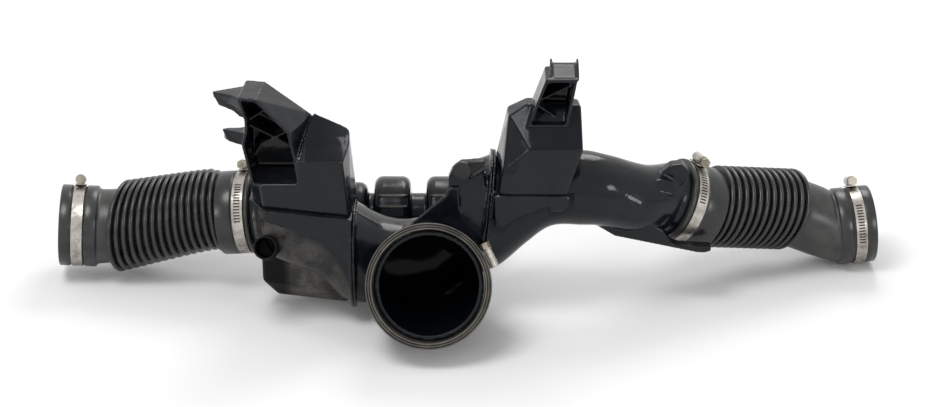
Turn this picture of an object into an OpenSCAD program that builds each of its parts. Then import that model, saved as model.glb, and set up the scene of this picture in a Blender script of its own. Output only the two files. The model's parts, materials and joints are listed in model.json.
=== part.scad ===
// Twin-inlet air intake duct: a throttle outlet in front, a clamped bellows hose on each side.
// Origin: centre of the outlet's mouth. +X to the right, +Y away from the mouth, +Z up.

/* [Outlet] */
// How far the outlet's axis is tipped up from level, degrees
outlet_tilt = 25; // [23:0.5:27]
// Bore of the rubber outlet sleeve
outlet_bore_d = 88; // [86:0.5:90]
// Rubber between the bore and the outside of the sleeve's lips
outlet_wall = 5; // [4.5:0.25:5.5]
// Length of the sleeve along its axis
outlet_len = 34; // [30:0.5:35]
// Depth of the free mouth in front of the plastic spigot
outlet_free = 22; // [16:0.5:24]

/* [Moulded ducts] */
// Wall of the moulded ducts and boxes
wall = 2.4; // [2:0.1:2.8]
// How far a weld rim stands out of the duct wall
rim_height = 4; // [2:0.5:5]
// Thickness of one half of a weld rim
rim_t = 2.2; // [1.5:0.1:3]
// Outer diameter of the two hose stubs
stub_d = 59; // [57:0.5:59.5]
// Length of a hose stub
stub_len = 24; // [20:0.5:26]

/* [Hoses] */
// Bore of the left inlet sleeve
left_inlet_d = 60; // [58:0.5:61]
// Bore of the right inlet sleeve
right_inlet_d = 57; // [55:0.5:58]
// Wall of the rubber sleeves and cuffs
rubber_wall = 3.6; // [3:0.1:4.2]
// Depth of a bellows fold
fold_depth = 5; // [3.5:0.25:6]
// Width of one bellows crest
crest_w = 3.9; // [3:0.1:4.4]
// Number of crests on the left hose
left_crests = 15; // [13:1:16]
// Number of crests on the right hose
right_crests = 12; // [11:1:13]

/* [Clamps] */
// Width of a clamp band
band_w = 9; // [8:0.5:10]
// Thickness of a clamp band
band_t = 0.8; // [0.6:0.1:1]
// Diameter of a worm housing
housing_d = 7.6; // [7:0.1:8.5]
// Length of a worm housing
housing_len = 14; // [12:0.5:16]
// Across flats of a worm screw's head
screw_head = 7; // [6:0.5:8]

/* [Clearances] */
// Play between a rubber bore and the stub inside it
slip_play = 0.2; // [0.1:0.05:0.4]
// Play between a clamp band and the rubber under it
band_play = 0.15; // [0.1:0.05:0.3]
// Play between a box or chamber and the duct it is seated on
seat_play = 0.3; // [0.2:0.05:0.5]

/* [Hidden] */
$fn = 64;

plastic = "#1b1d20";
rubber = "#2a2b2d";
steel = "#b9b6ae";

outlet_axis = [0, cos(outlet_tilt), -sin(outlet_tilt)];
sleeve_step = 0.6;
spigot_r = outlet_bore_d / 2 - sleeve_step - slip_play;
spigot_bore = spigot_r - wall - 1.4;
spigot_end = 48;
stub_r = stub_d / 2;
cuff_bore = stub_r + slip_play;
ring_points = 24;
steps = 3;

// Duct stations: centre, direction, half depth, half height, corner power (2 is an ellipse)
left_body = [-151.3, 139.5, -2];
left_body_dir = unit([-0.985, 0.13, -0.10]);
right_body = [205.1, 134.5, 9.3];
right_body_dir = unit([0.875, 0.26, -0.41]);
left_joint = [[-61, 86, -11.5], [1, 0, 0], 35, 39.5, 2.5];
right_joint = [[44.6, 96, 17.2], unit([1, 0, -0.12]), 34, 48, 2.6];

// Straight up in the view the part was measured in
view_up = [0, 0.4226, 0.9063];
outlet_lip_d = outlet_bore_d + 2 * outlet_wall;
outlet_seat_r = outlet_lip_d / 2 - 2;

function unit(v) = v / norm(v);
function up_of(n) = unit([0, 0, 1] - n * n[2]);
function side_of(n) = cross(up_of(n), n);
function mix(a, b, t) = a + (b - a) * t;
function bend(p0, p1, p2, p3, t) =
    0.5 * ((2 * p1) + (p2 - p0) * t + (2 * p0 - 5 * p1 + 4 * p2 - p3) * t * t
        + (3 * p1 - p0 - 3 * p2 + p3) * t * t * t);
function power(x, e) = sign(x) * pow(abs(x), e);
function at_end(s, i) = s[max(0, min(len(s) - 1, i))];

// Stations between the given ones, on a smooth curve through all of them
function smooth(s, n = steps) = [
    for (k = [0:len(s) - 2], j = [0:n - (k == len(s) - 2 ? 0 : 1)])
        [for (q = [0:4]) bend(at_end(s, k - 1)[q], s[k][q], s[k + 1][q], at_end(s, k + 2)[q], j / n)]
];

// One ring of points round a station, grown outwards by a distance
function ring(s, grow = 0, n = ring_points) =
    let (d = unit(s[1]), u = side_of(d), v = up_of(d), e = 2 / s[4])
    [for (i = [0:n - 1])
        let (a = 360 * i / n)
        s[0] + u * (s[2] + grow) * power(cos(a), e) + v * (s[3] + grow) * power(sin(a), e)];

function moved(s, by) = [s[0] + unit(s[1]) * by, s[1], s[2], s[3], s[4]];
function with_ends(s, by) = concat([moved(s[0], -by)], s, [moved(s[len(s) - 1], by)]);

function middle(r) = [for (i = [0:len(r) - 1]) 1] * r / len(r);

// A solid through a row of rings, each end closed from the middle of its ring
module loft(rings) {
    n = len(rings[0]);
    m = len(rings);
    polyhedron(
        points = concat([for (r = rings) each r], [middle(rings[0]), middle(rings[m - 1])]),
        faces = concat(
            [for (i = [0:n - 1]) [n * m, i, (i + 1) % n]],
            [for (k = [0:m - 2], i = [0:n - 1]) [k * n + i, (k + 1) * n + i, (k + 1) * n + (i + 1) % n]],
            [for (k = [0:m - 2], i = [0:n - 1]) [k * n + i, (k + 1) * n + (i + 1) % n, k * n + (i + 1) % n]],
            [for (i = [n - 1:-1:0]) [n * m + 1, (m - 1) * n + (i + 1) % n, (m - 1) * n + i]]
        )
    );
}

module duct_solid(stations) {
    loft([for (s = smooth(stations)) ring(s)]);
}

module duct_void(stations, by = 1.5) {
    loft([for (s = with_ends(smooth(stations), by)) ring(s, -wall)]);
}

// Room round a weld rim, and past it on either side by the given lengths
module rim_keepout(station, before = 0, beyond = 0) {
    over = rim_t + seat_play;
    loft([for (by = [-over - before, over + beyond]) ring(moved(station, by), rim_height + seat_play)]);
}

module rim(station, from, to) {
    loft([ring(moved(station, from), rim_height), ring(moved(station, to), rim_height)]);
}

// Puts a shape built along +Z at a point, pointing along a direction
module along(p, d) {
    translate(p) rotate([0, acos(d[2] / norm(d)), atan2(d[1], d[0])]) children();
}

// A box or shell with rounded corners at the given points
module corner_hull(corners, r) {
    hull() for (c = corners) translate(c) sphere(r = r, $fn = 12);
}

// Left duct

left_stations = [
    [left_body - left_body_dir * 11, -left_body_dir, stub_r - 0.4, stub_r - 0.4, 2],
    [left_body - left_body_dir * 16, -left_body_dir, stub_r - 0.2, stub_r - 0.2, 2],
    [[-126, 123, 6], unit([1, -0.55, 0.1]), 34, 30.5, 2.3],
    [[-108, 100, 9], unit([1, -0.4, 0]), 41, 26, 2.8],
    [[-86, 89, 3], unit([1, -0.1, 0]), 35, 30, 2.8],
    [[-72, 86, -8], [1, 0, 0], 33, 37, 2.6],
    moved(left_joint, -rim_t / 2)
];
deck_t = 3;
left_seam = [-98, 80, 35.4];
left_seam_slope = 6.5;
seam_play = 0.05;
left_port = [-94, 84];
port_size = [34, 24];
cross_y = 162;
cross_z = -16.2;
cross_socket_y = 114;
cross_port_r = 14;
cross_ports = [-78, 22];
cross_ends = [-94, 38];

module stub(p, d) {
    along(p - d * (stub_len - 10), d) difference() {
        cylinder(r = stub_r, h = stub_len);
        translate([0, 0, -1]) cylinder(r = stub_r - wall, h = stub_len + 2);
    }
}

// Everything above (or below) the sloping seam plane under the left tower
module left_seam_side(above, by = 0) {
    translate(left_seam) rotate([0, left_seam_slope, 0])
        translate([-150, -150, above ? by : by - 300]) cube([300, 300, 300]);
}

module left_deck_outline() {
    polygon([[-130, 53], [-61, 53], [-61, 106], [-142, 106], [-142, 74]]);
}

// Front apron with its arched lower edge
module left_apron() {
    translate([0, 57, 0]) rotate([90, 0, 0]) linear_extrude(height = 4) polygon(concat(
        [[-61, 25], [-130, 36]],
        [for (t = [0:0.1:1]) [mix(-130, -61, t), 30 - 18 * sin(75 * t) - 42 * pow(t, 5)]]
    ));
}

module cross_socket(x) {
    translate([x, cross_socket_y, cross_z]) rotate([-90, 0, 0]) cylinder(r = cross_port_r + wall + slip_play, h = 13);
}

module cross_socket_bore(x) {
    translate([x, cross_socket_y - 10, cross_z]) rotate([-90, 0, 0]) cylinder(r = cross_port_r + slip_play, h = 30);
}

module left_duct() {
    color(plastic) difference() {
        union() {
            difference() {
                union() {
                    duct_solid(left_stations);
                    intersection() {
                        linear_extrude(height = 60) left_deck_outline();
                        left_seam_side(true, -deck_t);
                    }
                    left_apron();
                    cross_socket(cross_ports[0]);
                }
                left_seam_side(true);
            }
            rim(left_joint, -rim_t, 0);
            stub(left_body, left_body_dir);
        }
        duct_void(left_stations);
        translate([left_port[0] - port_size[0] / 2, left_port[1] - port_size[1] / 2, 10])
            cube([port_size[0], port_size[1], 60]);
        cross_socket_bore(cross_ports[0]);
    }
}

// Left tower: a low base, a tall box with a sloping roof, and the open ribbed fork bracket

box_r = 3;
left_base_corners = [
    [-130, 61, 57], [-126, 61, 20], [-138, 72, 57], [-134, 72, 20], [-138, 97, 57], [-134, 97, 20],
    [-68, 61, 57], [-65, 61, 20], [-68, 97, 57], [-65, 97, 20]
];
left_box_corners = [
    [-101, 61, 20], [-63.5, 61, 20], [-101, 61, 77.5], [-70, 61, 77.5],
    [-90, 83, 101], [-66.5, 84, 91], [-90, 96, 100], [-66.5, 98, 89.5], [-101, 98, 20], [-60, 98, 20]
];
bracket_front = 60;
bracket_back = 98;
bracket_outline = [
    [-148, 132], [-133, 130.5], [-108, 103], [-103.5, 80], [-101, 57], [-138.5, 57],
    [-145.5, 92], [-144, 98], [-142.5, 104], [-142.5, 112], [-144, 118]
];
// How far each corner of the outline moves to the right from the front to the back
bracket_shift = [4, 4.5, 15, 12, 6, 0, 0, 0, 0, 0, 2];
bracket_ribs = [
    [[-143, 106.5], [-127, 117.5]], [[-143, 106], [-97, 80.5]], [[-110, 99], [-131, 88]], [[-131, 88], [-137, 78]]
];
fork_plan_top = [[-141, 62], [-157, 84], [-168, 94], [-170, 97.5], [-141, 97.5]];
fork_side_top = [[-171, 117.3], [-171, 122.5], [-141, 128], [-141, 117.5]];
fork_plan_low = [[-141, 80], [-153, 87], [-161, 93], [-163, 97.5], [-141, 97.5]];
fork_side_low = [[-164, 82.5], [-164, 91], [-141, 92.5], [-141, 82]];
rib_t = 1.8;
// How far the ribs stand back from the bracket's front edge
rib_back = 12;

module along_y(from, to) {
    translate([0, to, 0]) rotate([90, 0, 0]) linear_extrude(height = to - from) children();
}

module bar(a, b, t) {
    translate(a) rotate(atan2(b[1] - a[1], b[0] - a[0])) translate([0, -t / 2]) square([norm(b - a), t]);
}

// A clockwise outline moved inwards by a distance
function inset(p, by) = [
    for (i = [0:len(p) - 1])
        let (
            u = unit(p[i] - p[(i + len(p) - 1) % len(p)]),
            v = unit(p[(i + 1) % len(p)] - p[i]),
            n = unit([u[1] + v[1], -u[0] - v[0]])
        )
        p[i] + n * by / (n * [u[1], -u[0]])
];

// The bracket's outline at a distance behind its front edge
function bracket_at(y, by) =
    let (t = (y - bracket_front) / (bracket_back - bracket_front), p = inset(bracket_outline, by))
    [for (i = [0:len(p) - 1]) [p[i][0] + bracket_shift[i] * t, y, p[i][1]]];

module fork_prong(plan, side) {
    intersection() {
        translate([0, 0, side[0][1] - 5]) linear_extrude(height = 20) polygon(plan);
        along_y(bracket_front, bracket_back) polygon(side);
    }
}

module fork_bracket() {
    difference() {
        union() {
            loft([bracket_at(bracket_front, 0), bracket_at(bracket_back, 0)]);
            fork_prong(fork_plan_top, fork_side_top);
            fork_prong(fork_plan_low, fork_side_low);
        }
        // The hollow, less the ribs that stand in it
        difference() {
            loft([bracket_at(bracket_front - 1, wall), bracket_at(bracket_back - wall, wall)]);
            along_y(bracket_front + rib_back, bracket_back) for (r = bracket_ribs) bar(r[0], r[1], rib_t);
        }
    }
}

module left_tower() {
    color(plastic) difference() {
        union() {
            corner_hull(left_base_corners, box_r);
            corner_hull(left_box_corners, box_r);
            fork_bracket();
        }
        corner_hull(left_base_corners, box_r - wall);
        corner_hull(left_box_corners, box_r - wall);
        left_seam_side(false, seam_play);
        rim_keepout(left_joint, 0, 5);
    }
}

// Lower chamber under the left duct, with its breather nozzle

nozzle_mouth = [-129, 45, 11.1];
nozzle_r = 9.4;
nozzle_bore_r = 7.8;
nozzle_free = 12;
nozzle_root_r = 10.1;
nozzle_len = 53;
chamber_r = 5;
// Corner and size of the space left for the apron in front of the chamber
chamber_notch = [[-118, 56, 3], [58, 18, 60]];
chamber_corners = [
    [-122, 100, -52], [-70, 92, -54.5], [-124, 107, -51], [-70, 107, -54.5], [-131, 92, -38], [-68, 86, -46],
    [-131, 91, -12], [-68, 86, -22], [-131, 107, -12], [-68, 107, -22]
];

// The grown outline of a duct, cut from what seats on it
module keepout(stations, from, to, grow = seat_play) {
    all = smooth(stations);
    loft([for (i = [from:to]) ring(all[i], grow)]);
}

module lower_chamber() {
    color("#3a3631") difference() {
        union() {
            corner_hull(chamber_corners, chamber_r);
            along(nozzle_mouth, outlet_axis) {
                cylinder(r = nozzle_r, h = nozzle_free + 1);
                translate([0, 0, nozzle_free]) cylinder(r = nozzle_root_r, h = nozzle_len - nozzle_free);
            }
        }
        corner_hull(chamber_corners, chamber_r - wall);
        along(nozzle_mouth, outlet_axis) translate([0, 0, -1]) cylinder(r = nozzle_bore_r, h = nozzle_len + 10);
        keepout(left_stations, 3, 18);
        translate(chamber_notch[0]) cube(chamber_notch[1]);
    }
}

// Centre duct between the two weld rims, with the outlet spigot

centre_stations = [
    moved(left_joint, rim_t / 2),
    [[-38, 85, -19], [1, 0, 0], 31, 36, 2.4],
    [[-18, 86, -21], [1, 0, 0], 31, 35, 2.4],
    [[4, 90, -12], [1, 0, 0], 32, 42, 2.4],
    [[20, 94, 5], unit([1, 0, -0.05]), 33, 49, 2.6],
    moved(right_joint, -rim_t / 2)
];
throat_stations = [
    [outlet_axis * 44, outlet_axis, spigot_r - 0.5, spigot_r - 0.5, 2],
    [outlet_axis * 50, outlet_axis, spigot_r - 0.6, spigot_r - 0.6, 2],
    [[-2, 66, -21], [0, 1, -0.12], 41, 37.5, 2.2],
    [[-4, 84, -20], [0, 1, 0], 38, 35, 2.4]
];
ear_outline = [[15, 42], [15, 60], [18, 67], [25, 73], [43, 74], [43, 42]];
ear_front = 70;
ear_back = 78;
bush_at = [25.5, 67];
plenum_outline = [[15, 58], [15, 44], [12, 30], [12, 14], [40, 14], [40, 58]];
plenum_front = 58;
plenum_back = 76;
panel_outline = [[16.6, 40], [16.6, 56.6], [34.6, 56.6], [34.6, 40]];
panel_rise = 0.8;
web_outline = [[-14.5, 23.8], [11.6, 47.3], [16, 55], [24, 55], [24, 30], [-4, 6], [-18, 6]];
web_front = 62;
web_t = 2.6;
bush_hole_r = 4;

module spigot() {
    along(outlet_axis * outlet_free, outlet_axis) cylinder(r = spigot_r, h = spigot_end - outlet_free);
}

module centre_duct() {
    color(plastic) difference() {
        union() {
            duct_solid(centre_stations);
            duct_solid(throat_stations);
            spigot();
            rim(left_joint, 0, rim_t);
            rim(right_joint, -rim_t, 0);
            along_y(ear_front, ear_back) polygon(ear_outline);
            along_y(plenum_front, plenum_back) polygon(plenum_outline);
            along_y(plenum_front - panel_rise, plenum_front + 1) polygon(panel_outline);
            along_y(web_front, web_front + web_t) polygon(web_outline);
            cross_socket(cross_ports[1]);
        }
        duct_void(centre_stations);
        duct_void(throat_stations);
        along(outlet_axis * (outlet_free - 1), outlet_axis)
            cylinder(r = spigot_bore, h = spigot_end - outlet_free);
        cross_socket_bore(cross_ports[1]);
        translate([bush_at[0], ear_front - 1, bush_at[1]]) rotate([-90, 0, 0]) cylinder(r = bush_hole_r, h = 12);
    }
}

module mounting_bush() {
    color("#26282b") translate([bush_at[0], ear_front, bush_at[1]]) rotate([90, 0, 0]) {
        cylinder(r = 7.4, h = 2.4);
        translate([0, 0, slip_play - ear_back + ear_front]) cylinder(r = bush_hole_r - slip_play, h = 8);
    }
}

// Right duct

right_deck_z = 51;
right_stations = [
    moved(right_joint, rim_t / 2),
    [[56, 97, 21], [1, 0, 0], 33, 45, 2.6],
    [[75, 98, 29.5], [1, 0, 0.1], 31, 33.5, 2.5],
    [[95, 98, 36], [1, 0, 0.1], 29, 26.5, 2.3],
    [[120, 98, 39], [1, 0.05, 0], 28, 30, 2.1],
    [[140, 99.5, 35.8], [1, 0.2, -0.2], 28, 28.7, 2],
    [[168, 111, 23.3], unit([0.9, 0.35, -0.35]), 27.5, 28, 2],
    [right_body - right_body_dir * 16, right_body_dir, stub_r - 0.2, stub_r - 0.2, 2],
    [right_body - right_body_dir * 11, right_body_dir, stub_r - 0.4, stub_r - 0.4, 2]
];
right_port = [82, 82];
right_deck = [[51, 54], [107, 54], [109, 90], [54, 90], [51, 70]];
right_apron_t = 4;
right_apron_outline = [
    [51, 49.5], [51, 25], [57, 24], [67, 32], [80, 37.5], [92.5, 43], [95, 38.2], [104, 37.8], [109, 43], [110, 49.5]
];
// Keel under the stub: a rib that ends in a tongue below the clamp
keel_outline = [
    [128, 16], [131.7, 9.5], [148.4, -1], [186, -9.3], [214.5, -15.6], [221, -16.2], [226, -14.4], [226.5, -11.2],
    [212, -10.5], [200, -9.4], [194, -7.5], [187, 4], [160, 18]
];
keel_depth = [91, 102];
// Gap that the keel keeps from the clamp behind it
keel_room = 2;
// Gusset on top of the duct, in front of the clamp
gusset_outline = [[174, 32], [176, 38.5], [193, 53], [202, 54], [209, 46.5], [204, 38], [192, 28]];
gusset_depth = [109, 120];
// Raised pads on the duct's front: centre, outward direction, turn, size and height
pad_at = [[188, 98.6, 38.5], [0.35, -0.75, 0.56], 68, [20, 12], 5];
bump_at = [[162.2, 78.6, 37.2], [0.3, -0.85, 0.43], 55, [17, 7], 4];

// A pad with round ends, half sunk where it is put
module pad(p) {
    along(p[0], p[1]) rotate(p[2]) translate([0, 0, -p[4] / 2]) linear_extrude(height = p[4]) {
        square([p[3][0] - p[3][1], p[3][1]], center = true);
        for (x = [-0.5, 0.5]) translate([x * (p[3][0] - p[3][1]), 0]) circle(d = p[3][1], $fn = 32);
    }
}

module right_duct() {
    color(plastic) difference() {
        union() {
            duct_solid(right_stations);
            translate([0, 0, right_deck_z - deck_t]) linear_extrude(height = deck_t) polygon(right_deck);
            along_y(right_deck[0][1], right_deck[0][1] + right_apron_t) polygon(right_apron_outline);
            difference() {
                along_y(keel_depth[0], keel_depth[1]) polygon(keel_outline);
                along(right_body - right_body_dir * (band_w / 2 + keel_room), right_body_dir)
                    cylinder(r = cuff_seat_r + band_play + band_t + keel_room, h = stub_len + keel_room);
            }
            difference() {
                along_y(gusset_depth[0], gusset_depth[1]) polygon(gusset_outline);
                along(right_body - right_body_dir * 30, right_body_dir) cylinder(r = stub_r - wall / 2, h = 40);
            }
            pad(pad_at);
            pad(bump_at);
            rim(right_joint, 0, rim_t);
            stub(right_body, right_body_dir);
        }
        duct_void(right_stations);
        translate([right_port[0] - port_size[0] / 2, right_port[1] - port_size[1] / 2, 20])
            cube([port_size[0], port_size[1], 60]);
    }
}

// Right tower: a box with a sloping roof and the ribbed clip channel that stands on it

right_box_corners = [
    [79, 59, 89], [117, 59, 89], [64.5, 79, 107.5], [77, 84, 114.5], [116, 84, 113.5],
    [64, 98, 107], [77, 98, 113.5], [115, 98, 112.5], [60.5, 64, 70], [56, 97, 70],
    [55.5, 60, 40], [101.5, 59, 40], [101.5, 98, 40], [62, 98, 40]
];
channel_front = 67;
channel_back = 96;
channel_outline = [[76, 104], [90.5, 144], [115, 144], [112.5, 129], [108, 104]];
channel_ribs = [[[103, 145], [112, 136.5]], [[112, 137], [81, 121]], [[81, 121.5], [98, 110]]];

clip_x = 94;
clip_w = 22.5;
clip_side = [[channel_front + 2, 143], [90, 147.5], [channel_back, 147.5], [channel_back, 143]];
horn_t = 2;
horn_side = [[channel_front + 1, 143], [88, 150.5], [channel_back, 151], [channel_back, 143]];

module clip_channel() {
    difference() {
        along_y(channel_front, channel_back) polygon(channel_outline);
        along_y(channel_front - 1, channel_back - wall) offset(delta = -wall) polygon(channel_outline);
    }
    along_y(channel_front + 8, channel_back - wall / 2) intersection() {
        polygon(channel_outline);
        union() for (r = channel_ribs) bar(r[0], r[1], rib_t);
    }
    // Saddle clip
    translate([clip_x, 0, 0]) rotate([90, 0, 90]) {
        linear_extrude(height = clip_w) polygon(clip_side);
        for (x = [0, clip_w - horn_t]) translate([0, 0, x]) linear_extrude(height = horn_t) polygon(horn_side);
    }
}

module right_tower() {
    color(plastic) difference() {
        union() {
            corner_hull(right_box_corners, box_r);
            clip_channel();
        }
        corner_hull(right_box_corners, box_r - wall);
        translate([0, 0, right_deck_z - 200]) cube([200, 200, 200]);
        keepout(right_stations, 1, 14);
        rim_keepout(right_joint);
    }
}

// Crossover tube behind the centre duct: three big rounded convolutions

hump_valley_r = 19;
hump_edge = 7;
humps = [[-84, -52.5, 28], [-47, -17, 33], [-4, 26, 33]];

module rounded_disc(r, w, e) {
    rotate_extrude() {
        square([r - e, w]);
        translate([0, e]) square([r, w - 2 * e]);
        for (z = [e, w - e]) translate([r - e, z]) circle(r = e, $fn = 24);
    }
}

module along_x(x) {
    translate([x, cross_y, cross_z]) rotate([0, 90, 0]) children();
}

module crossover_body(grow) {
    for (h = humps) along_x(h[0] - grow) rounded_disc(h[2] + grow, h[1] - h[0] + 2 * grow, hump_edge + grow);
    along_x(cross_ends[0] - grow) cylinder(r = hump_valley_r + grow, h = cross_ends[1] - cross_ends[0] + 2 * grow);
    for (x = cross_ports)
        translate([x, cross_socket_y + 2 - (grow < 0 ? 2 : 0), cross_z]) rotate([-90, 0, 0])
            cylinder(r = cross_port_r + grow, h = cross_y - cross_socket_y);
}

module crossover_tube() {
    color(plastic) difference() {
        crossover_body(0);
        crossover_body(-wall);
    }
}

// Rubber outlet sleeve

module outlet_sleeve() {
    lip = outlet_lip_d / 2;
    color(rubber) along([0, 0, 0], outlet_axis) difference() {
        union() {
            cylinder(r = outlet_seat_r, h = outlet_len);
            cylinder(r = lip, h = 4.2);
            translate([0, 0, 16.5]) cylinder(r = lip - 0.6, h = 4);
        }
        translate([0, 0, -1]) cylinder(r = outlet_bore_d / 2, h = outlet_free + 1);
        translate([0, 0, -1]) cylinder(r = spigot_r + slip_play, h = outlet_len + 2);
    }
}

// Hoses: a cuff on the stub, a bellows of rounded crests, a smooth neck and the inlet sleeve

left_fold_start = [[-173.6, 143.6, -2.6], unit([-0.986, 0.11, -0.125]), 33.4];
left_fold_end = [[-253.8, 153.5, -21.1], unit([-0.967, 0.254, -0.007]), 38.4];
left_fold_lift = 2;
left_mouth = [-306.4, 151.9, -19.6];
left_mouth_dir = unit([-0.996, -0.05, 0.07]);
right_fold_start = [[230.5, 143.4, 1.2], unit([0.889, 0.3, -0.35]), 34.3];
right_fold_end = [[293.7, 169.2, -13.3], unit([0.84, 0.363, -0.404]), 34.6];
right_fold_lift = 0;
right_mouth = [367.5, 176.4, -29.7];
right_mouth_dir = unit([0.994, 0.089, 0.068]);

module crest(r, w) {
    rotate_extrude() {
        translate([0, -w / 2]) square([r - w / 2, w]);
        translate([r - w / 2, 0]) circle(d = w, $fn = 24);
    }
}

// Centre of the bellows a share of the way along, and the radius of a crest there
function fold_at(from, to, lift, t) =
    mix(from[0], to[0], t) + view_up * lift * sin(180 * pow(t, 0.4));
function fold_r(from, to, t) = mix(from[2], to[2], pow(t, 1.2));

module bellows(from, to, lift, crests, shrink, w) {
    pitch = norm(to[0] - from[0]) / (crests - 1);
    for (i = [0:crests - 1]) let (t = i / (crests - 1))
        along(fold_at(from, to, lift, t), mix(from[1], to[1], t)) crest(fold_r(from, to, t) - shrink, w);
    for (i = [0:crests - 2]) let (t = (i + 0.5) / (crests - 1))
        along(fold_at(from, to, lift, t), mix(from[1], to[1], t))
            translate([0, 0, -pitch * 0.55])
                cylinder(r = fold_r(from, to, t) - fold_depth - shrink, h = pitch * 1.1);
}

module hose(body, body_dir, from, to, lift, crests, mouth, mouth_dir, inlet_d, neck_r) {
    sleeve_r = inlet_d / 2 + rubber_wall;
    cuff_r = cuff_bore + rubber_wall - 0.1;
    cuff_end = norm(from[0] - body);
    neck_to = mouth - mouth_dir * 32;
    neck_dir = unit(neck_to - to[0]);
    neck_len = norm(neck_to - to[0]);
    difference() {
        union() {
            along(body - body_dir * 9, body_dir) {
                cylinder(r = cuff_r, h = 9 + cuff_end);
                cylinder(r = cuff_r + 1.4, h = 3);
            }
            along(body + body_dir * (band_w / 2 + 1), body_dir)
                cylinder(r = cuff_r + 1.1, h = cuff_end - band_w / 2 - 3.5);
            bellows(from, to, lift, crests, 0, crest_w);
            along(to[0] - neck_dir * 4, neck_dir) cylinder(r = neck_r, h = neck_len + 6);
            along(mouth - mouth_dir * 30, mouth_dir) {
                cylinder(r = sleeve_r - 1, h = 30);
                cylinder(r = sleeve_r, h = 9.5);
                translate([0, 0, 21.5]) cylinder(r = sleeve_r, h = 8.5);
            }
        }
        along(body - body_dir * 10, body_dir) cylinder(r = cuff_bore, h = 21);
        along(body, body_dir) cylinder(r = cuff_bore - 2, h = cuff_end + 1);
        bellows(from, to, lift, crests, rubber_wall - 0.8, 1.4);
        along(to[0] - neck_dir * 8, neck_dir) cylinder(r = neck_r - 2.8, h = neck_len + 10);
        along(mouth - mouth_dir * 25, mouth_dir) cylinder(r = inlet_d / 2, h = 26);
    }
}

module left_hose() {
    color(rubber) hose(left_body, left_body_dir, left_fold_start, left_fold_end, left_fold_lift,
        left_crests, left_mouth, left_mouth_dir, left_inlet_d, 30.5);
}

module right_hose() {
    color(rubber) hose(right_body, right_body_dir, right_fold_start, right_fold_end, right_fold_lift,
        right_crests, right_mouth, right_mouth_dir, right_inlet_d, 28.6);
}

// Worm-drive clamps: a slotted band, the housing that stands on it and the worm screw

cuff_seat_r = cuff_bore + rubber_wall - 0.1;
left_inlet_seat_r = left_inlet_d / 2 + rubber_wall - 1;
right_inlet_seat_r = right_inlet_d / 2 + rubber_wall - 1;
left_inlet_band_at = 14.6;
right_inlet_band_at = 13.2;

// Clamps: centre, axis, seat radius, way from the axis to the worm, turn of the worm, first slot's angle
outlet_clamp = [outlet_axis * 10.4, outlet_axis, outlet_seat_r, [0.913, 0.172, 0.369], -1, 18];
left_body_clamp = [left_body, left_body_dir, cuff_seat_r, view_up, -1, 50];
right_body_clamp = [right_body, right_body_dir, cuff_seat_r, [0, 0.09, 1], 1, 18];
left_inlet_clamp = [
    left_mouth - left_mouth_dir * left_inlet_band_at, left_mouth_dir, left_inlet_seat_r, view_up, -1, 230
];
right_inlet_clamp = [
    right_mouth - right_mouth_dir * right_inlet_band_at, right_mouth_dir, right_inlet_seat_r, view_up, 1, 60
];
slot_pitch = 2.4;
slot_size = [1.2, 5.2];
slot_count = 14;
saddle_t = 1;

function spin_to(d, g) =
    let (b = acos(d[2]), c = atan2(d[1], d[0]))
    atan2(g * [-sin(c), cos(c), 0], g * [cos(b) * cos(c), cos(b) * sin(c), -sin(b)]);

module at_clamp(c) {
    along(c[0], c[1]) rotate(spin_to(c[1], c[3])) children();
}

module on_worm(c) {
    at_clamp(c) translate([c[2] + band_play + band_t + 0.05 + saddle_t + housing_d / 2 - 0.3, 0, 0])
        rotate([-90 * c[4], 0, 0]) children();
}

module clamp_band(c) {
    r = c[2] + band_play;
    color(steel) at_clamp(c) difference() {
        translate([0, 0, -band_w / 2]) cylinder(r = r + band_t, h = band_w);
        translate([0, 0, -band_w / 2 - 1]) cylinder(r = r, h = band_w + 2);
        for (i = [0:slot_count - 1])
            rotate(c[4] * (c[5] + i * slot_pitch / r * 180 / PI))
                translate([r - 1, -slot_size[0] / 2, -slot_size[1] / 2]) cube([4, slot_size[0], slot_size[1]]);
    }
}

module clamp_housing(c) {
    color(steel) {
        on_worm(c) difference() {
            translate([0, 0, -housing_len / 2]) cylinder(d = housing_d, h = housing_len);
            translate([0, 0, -housing_len]) cylinder(d = housing_d - 2, h = 2 * housing_len);
        }
        at_clamp(c) translate([c[2] + band_play + band_t + 0.05, -housing_len / 2, -band_w / 2])
            cube([saddle_t, housing_len, band_w]);
    }
}

module clamp_screw(c) {
    color(steel) on_worm(c) {
        translate([0, 0, -housing_len / 2 + 2]) cylinder(d = housing_d - 2.4, h = housing_len);
        translate([0, 0, housing_len / 2 + 0.3]) cylinder(d = housing_d + 0.8, h = 1.2);
        translate([0, 0, housing_len / 2 + 1]) cylinder(d = screw_head / cos(30), h = 5, $fn = 6);
    }
}

module outlet_band() { clamp_band(outlet_clamp); }
module outlet_housing() { clamp_housing(outlet_clamp); }
module outlet_screw() { clamp_screw(outlet_clamp); }
module left_body_band() { clamp_band(left_body_clamp); }
module left_body_housing() { clamp_housing(left_body_clamp); }
module left_body_screw() { clamp_screw(left_body_clamp); }
module left_inlet_band() { clamp_band(left_inlet_clamp); }
module left_inlet_housing() { clamp_housing(left_inlet_clamp); }
module left_inlet_screw() { clamp_screw(left_inlet_clamp); }
module right_body_band() { clamp_band(right_body_clamp); }
module right_body_housing() { clamp_housing(right_body_clamp); }
module right_body_screw() { clamp_screw(right_body_clamp); }
module right_inlet_band() { clamp_band(right_inlet_clamp); }
module right_inlet_housing() { clamp_housing(right_inlet_clamp); }
module right_inlet_screw() { clamp_screw(right_inlet_clamp); }

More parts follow.
